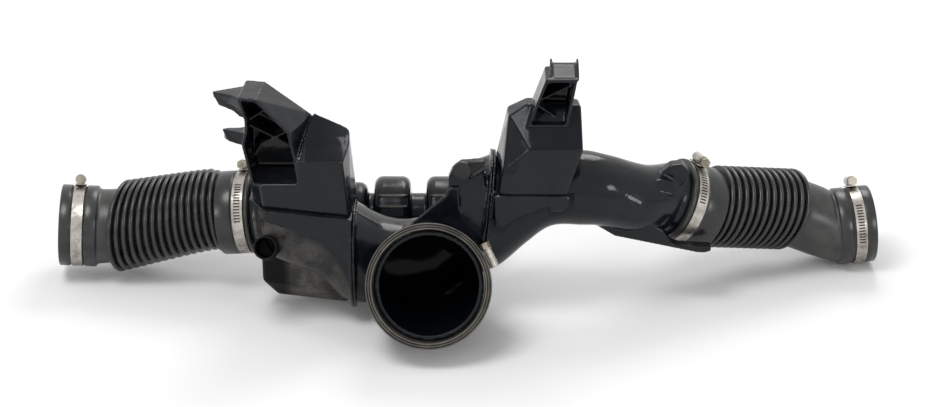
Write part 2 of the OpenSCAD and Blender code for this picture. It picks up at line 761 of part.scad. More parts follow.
centre_duct();
left_duct();
right_duct();
left_tower();
right_tower();
lower_chamber();
crossover_tube();
mounting_bush();
outlet_sleeve();
left_hose();
right_hose();
outlet_band();
outlet_housing();
outlet_screw();
left_body_band();
left_body_housing();
left_body_screw();
left_inlet_band();
left_inlet_housing();
left_inlet_screw();
right_body_band();
right_body_housing();
right_body_screw();
right_inlet_band();
right_inlet_housing();
right_inlet_screw();
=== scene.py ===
"""Twin-inlet engine air intake duct, dressed and lit for rendering.

Lengths are in millimetres until a mesh is made. The frame is the solid model's own: the origin is the
centre of the outlet's mouth, +X runs along the hoses, +Y goes into the duct and +Z is up.
"""

from __future__ import annotations

import json
import logging
import math
from dataclasses import dataclass, field
from enum import Enum

import bmesh
import bpy
import numpy as np
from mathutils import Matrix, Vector

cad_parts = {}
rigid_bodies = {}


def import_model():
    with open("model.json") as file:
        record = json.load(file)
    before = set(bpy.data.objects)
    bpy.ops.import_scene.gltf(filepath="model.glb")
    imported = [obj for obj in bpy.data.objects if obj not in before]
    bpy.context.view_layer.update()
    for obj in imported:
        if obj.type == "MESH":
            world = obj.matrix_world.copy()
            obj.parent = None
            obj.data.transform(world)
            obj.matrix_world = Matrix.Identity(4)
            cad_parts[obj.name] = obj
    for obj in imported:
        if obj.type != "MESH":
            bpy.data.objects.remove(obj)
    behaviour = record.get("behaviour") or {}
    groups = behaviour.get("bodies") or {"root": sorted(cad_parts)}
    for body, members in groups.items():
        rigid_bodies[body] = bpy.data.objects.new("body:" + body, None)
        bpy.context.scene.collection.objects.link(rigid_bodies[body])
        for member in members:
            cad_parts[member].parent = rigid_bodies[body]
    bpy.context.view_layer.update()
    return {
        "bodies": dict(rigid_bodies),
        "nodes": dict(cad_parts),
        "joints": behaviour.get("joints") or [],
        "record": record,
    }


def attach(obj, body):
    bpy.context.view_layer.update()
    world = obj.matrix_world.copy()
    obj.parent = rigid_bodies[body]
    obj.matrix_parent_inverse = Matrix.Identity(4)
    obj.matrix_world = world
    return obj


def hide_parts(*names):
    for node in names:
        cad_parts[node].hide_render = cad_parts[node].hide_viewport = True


log = logging.getLogger("intake_duct")

Array = np.ndarray
Point = tuple[float, float, float]
Range = tuple[float, float]
Outline = tuple[tuple[float, float], ...]
Tree = bpy.types.NodeTree
Socket = bpy.types.NodeSocket

MM = 0.001
# Two corners of a solid that lie closer than this are one
WELD_DISTANCE = 0.002
OUTLET_TILT = math.radians(25)
OUTLET_AXIS = np.array([0.0, math.cos(OUTLET_TILT), -math.sin(OUTLET_TILT)])
VIEW_UP = np.array([0.0, math.sin(OUTLET_TILT), math.cos(OUTLET_TILT)])
WALL = 2.4
RIM_HEIGHT = 4.0
RIM_THICKNESS = 2.2
STUB_RADIUS = 29.5
STUB_BACK = 14.0
STUB_LENGTH = 24.0


class Slot(Enum):
    """Material slots named in the part's record."""

    DUCT = "duct_plastic"
    CHAMBER = "chamber_plastic"
    BUSH = "bush_rubber"
    SLEEVE = "sleeve_rubber"
    HOSE = "hose_rubber"
    CLAMP = "clamp_steel"
    SCREW = "screw_steel"


class Plane(Enum):
    """Plane in which a flat outline is drawn: its two axes, and the axis square to it."""

    FRONT = (0, 2, 1)
    TOP = (0, 1, 2)


def unit(v: Array | Point) -> Array:
    """Returns v, or each row of v, divided by its own length."""
    v = np.asarray(v, dtype=float)
    return v / np.linalg.norm(v, axis=-1, keepdims=True)


def cross_axes(way: Array) -> tuple[Array, Array]:
    """Finds the two directions square to each way.

    Args:
        way: unit directions, one per row.

    Returns:
        The sideways and the upward direction of each row, where side cross up is way.
    """
    up = unit(np.array([0.0, 0.0, 1.0]) - way * way[..., 2:3])
    return np.cross(up, way), up


def ramp(values: Array, none: float, full: float) -> Array:
    """Share that each value has of the way from none to full, held between 0 and 1."""
    return np.clip((values - none) / (full - none), 0, 1)


def smooth_steps(table: Array, steps: int) -> Array:
    """Puts a smooth curve through the rows of a table, its slope at each row set by the two next to it.

    Each span is half of (2 p1 + (p2 - p0) t + (2 p0 - 5 p1 + 4 p2 - p3) t^2 + (3 p1 - p0 - 3 p2 + p3) t^3).

    Args:
        table: one row of numbers per station.
        steps: how many rows each span gives.

    Returns:
        The finer table, ending with the last row.
    """
    held = np.vstack([table[:1], table, table[-1:]])
    p0, p1, p2, p3 = (held[i : len(held) - 3 + i, None, :] for i in range(4))
    t = (np.arange(steps) / steps)[None, :, None]
    bend, twist = 2 * p0 - 5 * p1 + 4 * p2 - p3, 3 * p1 - p0 - 3 * p2 + p3
    spans = 0.5 * (2 * p1 + (p2 - p0) * t + bend * t**2 + twist * t**3)
    return np.vstack([spans.reshape(-1, table.shape[1]), table[-1:]])


@dataclass(frozen=True)
class Station:
    """One cross-section of a duct: a superellipse square to its way."""

    centre: Point
    way: Point
    half_depth: float
    half_height: float
    power: float = 2.0

    def row(self) -> list[float]:
        """The station as one row of numbers."""
        return [*self.centre, *self.way, self.half_depth, self.half_height, self.power]

    def moved(self, by: float) -> Station:
        """The same section a distance further along its way."""
        centre = np.array(self.centre) + unit(self.way) * by
        return Station(tuple(centre), self.way, self.half_depth, self.half_height, self.power)


def rings_of(stations: list[Station], steps: int = 12, count: int = 120, grow: float = 0.0) -> Array:
    """Works out the rings of a duct's skin.

    A ring's radius at angle a is (|cos a / depth|^p + |sin a / height|^p)^(-1/p).

    Args:
        stations: the given cross-sections.
        steps: rings per span.
        count: points per ring.
        grow: how far the ring stands outside the section.

    Returns:
        Points, as rings by points by three.
    """
    table = smooth_steps(np.array([s.row() for s in stations]), steps)
    centre, way = table[:, :3], unit(table[:, 3:6])
    side, up = cross_axes(way)
    a = np.arange(count) * 2 * math.pi / count
    depth, height = table[:, 6:7] + grow, table[:, 7:8] + grow
    power = table[:, 8:9]
    r = (np.abs(np.cos(a) / depth) ** power + np.abs(np.sin(a) / height) ** power) ** (-1 / power)
    return (
        centre[:, None]
        + side[:, None] * (r * np.cos(a))[..., None]
        + up[:, None] * (r * np.sin(a))[..., None]
    )


def turned(centre: Array, way: Array, radius: Array, count: int) -> Array:
    """Works out round rings: centre + radius (side cos a + up sin a).

    Args:
        centre: centre of each ring.
        way: direction of each ring.
        radius: radius of each ring.
        count: points per ring.

    Returns:
        Points, as rings by points by three.
    """
    side, up = cross_axes(unit(way))
    a = np.arange(count) * 2 * math.pi / count
    return (
        centre[:, None]
        + radius[:, None, None] * side[:, None] * np.cos(a)[:, None]
        + radius[:, None, None] * up[:, None] * np.sin(a)[:, None]
    )


def turned_profile(start: Array | Point, way: Array | Point, profile: Array, count: int) -> Array:
    """Turns a profile of (distance, radius) rows round a straight line.

    Args:
        start: where distance is 0.
        way: the line's direction.
        profile: rows of distance and radius.
        count: points per ring.

    Returns:
        Points, as rings by points by three.
    """
    way = np.broadcast_to(unit(way), (len(profile), 3))
    return turned(np.asarray(start) + way * profile[:, :1], way, profile[:, 1], count)


class Skin:
    """Closed shells of one piece, gathered in millimetres before they become a mesh."""

    def __init__(self) -> None:
        """Starts with nothing."""
        self.points: list[Array] = []
        self.faces: list[list[int]] = []
        self.size = 0

    def sheet(self, rings: Array, closed: bool = False) -> None:
        """Adds the skin over a row of rings.

        Args:
            rings: points, as rings by points by three.
            closed: True where the last ring joins the first, as on a torus; otherwise both ends are capped.
        """
        grid = self.size + np.arange(rings.shape[0] * rings.shape[1]).reshape(rings.shape[:2])
        if closed:
            grid = np.vstack([grid, grid[:1]])
        turn = np.roll(grid, -1, axis=1)
        quads = np.stack([grid[:-1], turn[:-1], turn[1:], grid[1:]], axis=-1).reshape(-1, 4)
        self.faces += quads.tolist()
        if not closed:
            self.faces += [grid[0, ::-1].tolist(), grid[-1].tolist()]
        self.points.append(rings.reshape(-1, 3))
        self.size += rings.shape[0] * rings.shape[1]

    def slab(
        self, outline: Outline | Array, plane: Plane, low: float | Array, high: float | Array
    ) -> None:
        """Adds an outline given thickness.

        Args:
            outline: corners in the plane.
            plane: the plane it is drawn in.
            low: where it starts on the third axis, the same everywhere or one value per corner.
            high: where it ends.
        """
        flat = np.asarray(outline, dtype=float)
        rings = np.zeros((2, len(flat), 3))
        u, v, w = plane.value
        rings[:, :, u], rings[:, :, v] = flat[:, 0], flat[:, 1]
        rings[0, :, w], rings[1, :, w] = low, high
        self.sheet(rings)

    def pad(self, centre: Point, way: Point, turn: float, size: Range, height: float) -> None:
        """Adds a low pad with round ends and a rounded top, half sunk where it is put.

        Its rings are two half circles, r cos t and r sin t, set apart by the straight middle.

        Args:
            centre: middle of the pad.
            way: the direction it faces.
            turn: degrees that its length is turned about that direction.
            size: length and width.
            height: how thick it is.
        """
        out = unit(way)
        across = unit(np.cross((0.0, 0.0, 1.0), out))
        along = np.cross(across, out)
        a = math.radians(turn)
        first = along * math.cos(a) + across * math.sin(a)
        second = across * math.cos(a) - along * math.sin(a)
        t = np.linspace(0, 2 * math.pi, 48, endpoint=False)
        straight = (size[0] - size[1]) / 2 * np.where(np.abs(t - math.pi) < math.pi / 2, -1, 1)
        # Each ring's share of the height, and how many millimetres it stands in from the rim
        rows = np.array([(-0.5, 0.0), (0.3, 0.0), (0.45, 0.5), (0.5, 1.4)])
        radius = size[1] / 2 - rows[:, 1:2]
        u, v = straight + radius * np.cos(t), radius * np.sin(t)
        self.sheet(
            np.asarray(centre)
            + u[..., None] * first
            + v[..., None] * second
            + (rows[:, :1] * height)[..., None] * out
        )

    def rod(self, start: Array | Point, way: Array | Point, radius: float, length: float) -> None:
        """Adds a plain round bar."""
        self.sheet(turned_profile(start, way, np.array([[0.0, radius], [length, radius]]), 96))

    def ridge(self, line: tuple | Array, radius: float) -> None:
        """Adds a thin round ridge along a line of points."""
        spots = np.asarray(line, dtype=float)
        self.sheet(turned(spots, np.gradient(spots, axis=0), np.full(len(spots), radius), 16))

    def build(self, name: str) -> bpy.types.Object:
        """Makes the gathered shells one smooth-shaded object.

        Args:
            name: the piece's name.

        Returns:
            The new object, at the origin.
        """
        mesh = bpy.data.meshes.new(name)
        mesh.from_pydata((np.vstack(self.points) * MM).tolist(), [], self.faces)
        mesh.polygons.foreach_set("use_smooth", np.ones(len(mesh.polygons), dtype=bool))
        mesh.update()
        made = bpy.data.objects.new(name, mesh)
        bpy.context.scene.collection.objects.link(made)
        return made


def settle(piece: bpy.types.Object) -> None:
    """Makes a piece's modifiers part of its mesh.

    Args:
        piece: the object to change.
    """
    bpy.context.view_layer.update()
    graph = bpy.context.evaluated_depsgraph_get()
    mesh = bpy.data.meshes.new_from_object(piece.evaluated_get(graph))
    piece.modifiers.clear()
    old = piece.data
    piece.data = mesh
    bpy.data.meshes.remove(old)
    mesh.name = piece.name
    mesh.polygons.foreach_set("use_smooth", np.ones(len(mesh.polygons), dtype=bool))


def join(piece: bpy.types.Object, extra: bpy.types.Object) -> None:
    """Moves the shells of one new object into another.

    Args:
        piece: the object that takes them.
        extra: the object that gives them and is deleted.
    """
    work = bmesh.new()
    work.from_mesh(piece.data)
    work.from_mesh(extra.data)
    work.to_mesh(piece.data)
    work.free()
    bpy.data.objects.remove(extra)


def fuse(
    piece: bpy.types.Object, voxel: float, passes: int, hollow: bpy.types.Object | None = None
) -> None:
    """Melts overlapping shells into one skin with softly rounded edges, as a mould leaves them.

    Args:
        piece: the object to change.
        voxel: grid size in millimetres.
        passes: smoothing passes.
        hollow: a closed shape to take out of it, which is deleted afterwards.
    """
    remesh = piece.modifiers.new("skin", "REMESH")
    remesh.mode = "VOXEL"
    remesh.voxel_size = voxel * MM
    if passes:
        soften = piece.modifiers.new("soften", "SMOOTH")
        soften.factor = 0.5
        soften.iterations = passes
    if hollow is not None:
        cut = piece.modifiers.new("bore", "BOOLEAN")
        cut.operation = "DIFFERENCE"
        cut.solver = "MANIFOLD"
        cut.object = hollow
    settle(piece)
    if hollow is not None:
        bpy.data.objects.remove(hollow)


def vertex_values(piece: bpy.types.Object, name: str) -> Array:
    """Reads one thing about every vertex.

    Args:
        piece: the object to read.
        name: co for its place in metres, or normal.

    Returns:
        Rows of three numbers.
    """
    values = np.empty(len(piece.data.vertices) * 3)
    piece.data.vertices.foreach_get(name, values)
    return values.reshape(-1, 3)


def mark(piece: bpy.types.Object, name: str, values: Array) -> None:
    """Stores one number per vertex under a name that the material reads."""
    layer = piece.data.attributes.new(name, "FLOAT", "POINT")
    layer.data.foreach_set("value", values.astype(np.float32))


def linear(hex_code: str) -> tuple[float, float, float, float]:
    """Turns an sRGB hex colour into a linear one.

    Args:
        hex_code: a colour such as #57534d.

    Returns:
        Linear red, green and blue, and an alpha of 1.
    """
    srgb = np.array([int(hex_code[i : i + 2], 16) / 255 for i in (1, 3, 5)])
    flat = np.where(srgb <= 0.04045, srgb / 12.92, ((srgb + 0.055) / 1.055) ** 2.4)
    return (*flat.tolist(), 1.0)


def pattern_scale(size: float) -> float:
    """Texture scale at which the features of a pattern are so many millimetres across."""
    return 1 / (size * MM)


def add_node(tree: Tree, kind: str, inputs: dict | tuple = (), **settings: object) -> bpy.types.Node:
    """Adds one shader node.

    Args:
        tree: the material's node tree.
        kind: the node's type without its ShaderNode start.
        inputs: what goes into its sockets, by name or number, or in order as a tuple: each a value, another
            node's output, or a node, which stands for its first output.
        settings: the node's own properties.

    Returns:
        The new node.
    """
    made = tree.nodes.new("ShaderNode" + kind)
    for key, value in settings.items():
        setattr(made, key, value)
    pairs = inputs.items() if isinstance(inputs, dict) else enumerate(inputs)
    for key, value in pairs:
        if isinstance(value, bpy.types.Node):
            value = value.outputs[0]
        if isinstance(value, Socket):
            tree.links.new(value, made.inputs[key])
        else:
            made.inputs[key].default_value = value
    return made


def new_material(name: str) -> bpy.types.Material:
    """Makes a material whose node tree is empty.

    Args:
        name: the material's name.

    Returns:
        The new material.
    """
    made = bpy.data.materials.new(name)
    made.use_nodes = True
    made.node_tree.nodes.clear()
    return made


@dataclass(frozen=True)
class MouldedPlastic:
    """Blow-moulded polypropylene: near black and glossy, its flats slightly wavy, with dust in patches,
    darkened and dulled where a mesh marks painted shade.

    Fields that end in size are the millimetres across one feature of a pattern. In every finish a MapRange
    node takes a value, the two ends of its range, and the two ends of the range that it becomes.
    """

    name: str
    colour: str
    dust: str
    ledge_cover: float
    film: float
    gloss_roughness: float
    gloss: float
    ledge_slope: Range = (0.55, 0.98)
    dust_roughness: float = 0.62
    darkened_gloss: float = 0.1
    patch_size: float = 22.2
    speck_size: float = 1.54
    streak_size: float = 26.3
    wave_size: float = 16.1
    wave_strength: float = 0.22
    wave_height: float = 2.2
    grain_size: float = 1.316
    grain_strength: float = 0.05
    grain_height: float = 0.7

    def dust_cover(self, tree: Tree, place: Socket) -> bpy.types.Node:
        """Works out how much dust lies on each point.

        Args:
            tree: the material's node tree.
            place: the object coordinates.

        Returns:
            The share covered: patches on faces that look up, and a thin film elsewhere, both flecked.
        """
        # Dust settles in patches, broken up by specks that are drawn as coarse as they need to show
        patch = add_node(
            tree,
            "TexNoise",
            {"Vector": place, "Scale": pattern_scale(self.patch_size), "Detail": 6.0, "Roughness": 0.62},
        )
        speck = add_node(
            tree, "TexNoise", {"Vector": place, "Scale": pattern_scale(self.speck_size), "Detail": 2.0}
        )
        normal = add_node(tree, "NewGeometry").outputs["Normal"]
        height = add_node(tree, "SeparateXYZ", {"Vector": normal}).outputs["Z"]
        ledge = add_node(tree, "MapRange", (height, *self.ledge_slope, 0.0, self.ledge_cover))
        patchy = add_node(tree, "MapRange", (patch, 0.36, 0.66, 0.05, 1.0))
        lying = add_node(tree, "Math", (ledge, patchy), operation="MULTIPLY")
        thin = add_node(tree, "MapRange", (patch, 0.42, 0.72, 0.0, self.film))
        both = add_node(tree, "Math", (lying, thin), operation="MAXIMUM")
        # Where this attribute is high the dust colour lies thick: caked dust, and on thin ridges a painted
        # highlight
        dust_and_highlight = add_node(tree, "Attribute", attribute_name="dust_and_painted_highlight").outputs["Fac"]
        caked = add_node(tree, "MapRange", (patch, 0.4, 0.6, 0.25, 1.0))
        packed = add_node(tree, "Math", (dust_and_highlight, caked), operation="MULTIPLY")
        most = add_node(tree, "Math", (both, packed), operation="MAXIMUM")
        flecked = add_node(tree, "MapRange", (speck, 0.3, 0.7, 0.65, 1.15))
        return add_node(tree, "Math", (most, flecked), operation="MULTIPLY", use_clamp=True)

    def skin_normal(self, tree: Tree, place: Socket) -> bpy.types.Node:
        """Works out the moulded skin: shallow waves under a fine grain.

        Args:
            tree: the material's node tree.
            place: the object coordinates.

        Returns:
            The node that gives the bent normal.
        """
        wave = add_node(
            tree, "TexNoise", {"Vector": place, "Scale": pattern_scale(self.wave_size), "Detail": 1.0}
        )
        grain = add_node(
            tree, "TexNoise", {"Vector": place, "Scale": pattern_scale(self.grain_size), "Detail": 3.0}
        )
        waved = add_node(
            tree,
            "Bump",
            {"Height": wave, "Strength": self.wave_strength, "Distance": self.wave_height * MM},
        )
        return add_node(
            tree,
            "Bump",
            {
                "Height": grain,
                "Strength": self.grain_strength,
                "Distance": self.grain_height * MM,
                "Normal": waved,
            },
        )

    def make(self) -> bpy.types.Material:
        """Builds the material.

        Returns:
            Plastic with a hard gloss, dulled by dust, and darker and less glossy where an attribute marks
            painted shade, and on the chamber's bare end.
        """
        material = new_material(self.name)
        tree = material.node_tree
        place = add_node(tree, "TexCoord").outputs["Object"]
        # This attribute darkens and dulls as painted shade in the bore, under the apron, on roofs and hump
        # fronts, and marks the chamber's bare end
        painted_shade_and_bare = add_node(tree, "Attribute", attribute_name="painted_shade_and_bare").outputs["Fac"]
        not_darkened = add_node(tree, "MapRange", (painted_shade_and_bare, 0.0, 1.0, 1.0, 0.0))
        cover = add_node(tree, "Math", (self.dust_cover(tree, place), not_darkened), operation="MULTIPLY")
        colours = {0: cover, 6: linear(self.colour), 7: linear(self.dust)}
        colour = add_node(tree, "Mix", colours, data_type="RGBA").outputs[2]
        # Handling has dulled the gloss in streaks a few centimetres long
        drawn = add_node(tree, "Mapping", {"Vector": place, "Scale": (1.0, 2.4, 3.0)})
        streak = add_node(
            tree, "TexNoise", {"Vector": drawn, "Scale": pattern_scale(self.streak_size), "Detail": 6.0}
        )
        low, high = self.gloss_roughness - 0.05, self.gloss_roughness + 0.12
        sheen = add_node(tree, "MapRange", (streak, 0.38, 0.72, low, high))
        rough = add_node(tree, "Mix", {0: cover, 2: sheen, 3: self.dust_roughness}, data_type="FLOAT")
        # Painted shade, and the chamber's bare end, take the gloss away
        level = add_node(tree, "MapRange", (painted_shade_and_bare, 0.0, 1.0, self.gloss, self.darkened_gloss))
        look = {
            "Base Color": colour,
            "Roughness": rough,
            "Specular IOR Level": level,
            "Normal": self.skin_normal(tree, place),
        }
        add_node(tree, "OutputMaterial", {"Surface": add_node(tree, "BsdfPrincipled", look)})
        return material


@dataclass(frozen=True)
class MouldedRubber:
    """Black rubber: satin where it is clean, greyed where the attribute called wear is high.

    Fields that end in size are the millimetres across one feature of a pattern.
    """

    name: str
    colour: str
    dust: str
    film: float
    wear_cover: float
    roughness: float
    blotch_size: float = 14.3
    grain_size: float = 1.053
    grain_strength: float = 0.08
    grain_height: float = 0.6

    def make(self) -> bpy.types.Material:
        """Builds the material.

        Returns:
            Rubber with a blotchy film, greyed where it is worn, over a fine moulded grain.
        """
        material = new_material(self.name)
        tree = material.node_tree
        place = add_node(tree, "TexCoord").outputs["Object"]
        wear = add_node(tree, "Attribute", attribute_name="wear").outputs["Fac"]
        # A film comes in blotches; fingers have rubbed it off in between
        blotch = add_node(
            tree,
            "TexNoise",
            {"Vector": place, "Scale": pattern_scale(self.blotch_size), "Detail": 6.0, "Roughness": 0.6},
        )
        film = add_node(tree, "MapRange", (blotch, 0.36, 0.68, 0.0, self.film))
        greyed = add_node(tree, "Math", (wear, self.wear_cover), operation="MULTIPLY")
        broken = add_node(tree, "MapRange", (blotch, 0.3, 0.6, 0.45, 1.0))
        patched = add_node(tree, "Math", (greyed, broken), operation="MULTIPLY")
        cover = add_node(tree, "Math", (film, patched), operation="ADD", use_clamp=True)
        colours = {0: cover, 6: linear(self.colour), 7: linear(self.dust)}
        grain = add_node(
            tree, "TexNoise", {"Vector": place, "Scale": pattern_scale(self.grain_size), "Detail": 3.0}
        )
        bump = {"Height": grain, "Strength": self.grain_strength, "Distance": self.grain_height * MM}
        look = {
            "Base Color": add_node(tree, "Mix", colours, data_type="RGBA").outputs[2],
            "Roughness": add_node(
                tree, "MapRange", (cover, 0.0, 0.6, self.roughness, self.roughness + 0.3)
            ),
            "Normal": add_node(tree, "Bump", bump),
        }
        add_node(tree, "OutputMaterial", {"Surface": add_node(tree, "BsdfPrincipled", look)})
        return material


@dataclass(frozen=True)
class ClampSteel:
    """Rolled steel strip: bright, with fine scratches and thin brown stains.

    Fields that end in size are the millimetres across one feature of a pattern.
    """

    name: str
    colour: str
    stain: str
    stain_cover: float
    roughness: float
    stain_size: float = 11.1
    scratch_size: float = 0.769
    scratch_strength: float = 0.12
    scratch_height: float = 0.3

    def make(self) -> bpy.types.Material:
        """Builds the material.

        Returns:
            Steel with brown stains, and with scratches a quarter of a millimetre wide.
        """
        material = new_material(self.name)
        tree = material.node_tree
        place = add_node(tree, "TexCoord").outputs["Object"]
        blot = add_node(
            tree,
            "TexNoise",
            {"Vector": place, "Scale": pattern_scale(self.stain_size), "Detail": 7.0, "Roughness": 0.7},
        )
        stained = add_node(tree, "MapRange", (blot, 0.42, 0.66, 0.0, self.stain_cover))
        colours = {0: stained, 6: linear(self.colour), 7: linear(self.stain)}
        # The scratches run round the bands, so the pattern is squeezed along X and drawn out across it
        drawn = add_node(tree, "Mapping", {"Vector": place, "Scale": (3.0, 0.6, 0.6)})
        scratch = add_node(
            tree, "TexNoise", {"Vector": drawn, "Scale": pattern_scale(self.scratch_size), "Detail": 2.0}
        )
        low, high = self.roughness - 0.07, self.roughness + 0.1
        fine = add_node(tree, "MapRange", (scratch, 0.3, 0.7, low, high))
        bump = {"Height": scratch, "Strength": self.scratch_strength, "Distance": self.scratch_height * MM}
        look = {
            "Base Color": add_node(tree, "Mix", colours, data_type="RGBA").outputs[2],
            "Metallic": 1.0,
            "Roughness": add_node(tree, "Math", (stained, 0.35, fine), operation="MULTIPLY_ADD"),
            "Normal": add_node(tree, "Bump", bump),
        }
        add_node(tree, "OutputMaterial", {"Surface": add_node(tree, "BsdfPrincipled", look)})
        return material


FINISHES = {
    Slot.DUCT: MouldedPlastic(
        "blow_moulded_polypropylene", "#0b1016", "#57534d",
        ledge_cover=0.2, film=0.05, gloss_roughness=0.12, gloss=0.27,
    ),
    Slot.CHAMBER: MouldedPlastic(
        "dusty_moulded_polypropylene", "#0f1011", "#6d6a65",
        ledge_cover=0.9, film=0.3, gloss_roughness=0.4, gloss=0.25,
    ),
    Slot.BUSH: MouldedRubber(
        "bush_rubber", "#101113", "#45433f", film=0.1, wear_cover=0.0, roughness=0.35
    ),
    Slot.SLEEVE: MouldedRubber(
        "greyed_sleeve_rubber", "#17181a", "#8f887c", film=0.14, wear_cover=0.34, roughness=0.36
    ),
    Slot.HOSE: MouldedRubber(
        "bellows_rubber", "#151619", "#66635d", film=0.1, wear_cover=0.4, roughness=0.25
    ),
    Slot.CLAMP: ClampSteel(
        "rolled_stainless_steel", "#b9b5ae", "#5c534a", stain_cover=0.75, roughness=0.22
    ),
    Slot.SCREW: ClampSteel(
        "zinc_plated_steel", "#a39d90", "#584d3d", stain_cover=0.7, roughness=0.34
    ),
}


class Dresser:
    """Makes each finish once, and puts each new piece in place of its solid, which it hides."""

    def __init__(self, frame: dict) -> None:
        """Keeps the frame and makes every finish."""
        self.nodes: dict[str, bpy.types.Object] = frame["nodes"]
        self.materials = {slot: finish.make() for slot, finish in FINISHES.items()}

    def paint(self, piece: bpy.types.Object, slot: Slot) -> None:
        """Gives a piece the material of its slot alone, and reports it.

        Args:
            piece: the piece.
            slot: its finish.
        """
        piece.data.materials.clear()
        piece.data.materials.append(self.materials[slot])
        log.info("%s dressed in %s", piece.name, self.materials[slot].name)

    def stand_for(self, piece: bpy.types.Object, node: str, slot: Slot) -> None:
        """Paints a new piece and lets it stand for a solid of the frame.

        Args:
            piece: the new mesh, at the origin.
            node: the solid's name.
            slot: the finish.
        """
        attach(piece, "root")
        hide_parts(node)
        self.paint(piece, slot)

    def copy_of(self, node: str) -> bpy.types.Object:
        """Copies a solid of the frame with its loose triangles joined.

        Args:
            node: the solid's name.

        Returns:
            A new object with a closed mesh.
        """
        mesh = self.nodes[node].data.copy()
        work = bmesh.new()
        work.from_mesh(mesh)
        bmesh.ops.remove_doubles(work, verts=work.verts, dist=WELD_DISTANCE * MM)
        work.to_mesh(mesh)
        work.free()
        made = bpy.data.objects.new(node + "_skin", mesh)
        bpy.context.scene.collection.objects.link(made)
        return made


LEFT_BODY = (-151.3, 139.5, -2.0)
LEFT_BODY_WAY = unit((-0.985, 0.13, -0.10))
RIGHT_BODY = (205.1, 134.5, 9.3)
RIGHT_BODY_WAY = unit((0.875, 0.26, -0.41))
LEFT_JOINT = Station((-61, 86, -11.5), (1, 0, 0), 35, 39.5, 2.5)
RIGHT_JOINT = Station((44.6, 96, 17.2), (1, 0, -0.12), 34, 48, 2.6)
CROSS_LINE = (162.0, -16.2)
SOCKET_START = 114.0
SOCKET_RADIUS = 16.6
SOCKET_LENGTH = 13.0


def stub_station(body: Point, way: Array, back: float, shrink: float, towards: int) -> Station:
    """Section of a duct where it runs into its round hose stub.

    Args:
        body: centre of the clamp on the stub.
        way: the stub's direction, out of the duct.
        back: how far behind the clamp.
        shrink: how much smaller than the stub.
        towards: 1 for a row that runs out along the stub, -1 for one that comes in.

    Returns:
        The round section.
    """
    centre = np.array(body) - way * back
    return Station(tuple(centre), tuple(way * towards), STUB_RADIUS - shrink, STUB_RADIUS - shrink)


def add_rim(skin: Skin, joint: Station, low: float, high: float) -> None:
    """Adds half of a weld rim round a joint, between two distances along its way."""
    ends = [joint.moved(low), joint.moved(high)]
    skin.sheet(rings_of(ends, steps=1, count=160, grow=RIM_HEIGHT))


def add_stub(skin: Skin, body: Point, way: Array) -> None:
    """Adds the round stub that a hose is pushed on, its end a little past the clamp."""
    skin.rod(np.array(body) - way * STUB_BACK, way, STUB_RADIUS, STUB_LENGTH)


def add_socket(skin: Skin, x: float) -> None:
    """Adds the round socket behind a duct, into which a port of the crossover tube is pushed."""
    skin.rod((x, SOCKET_START, CROSS_LINE[1]), (0, 1, 0), SOCKET_RADIUS, SOCKET_LENGTH)


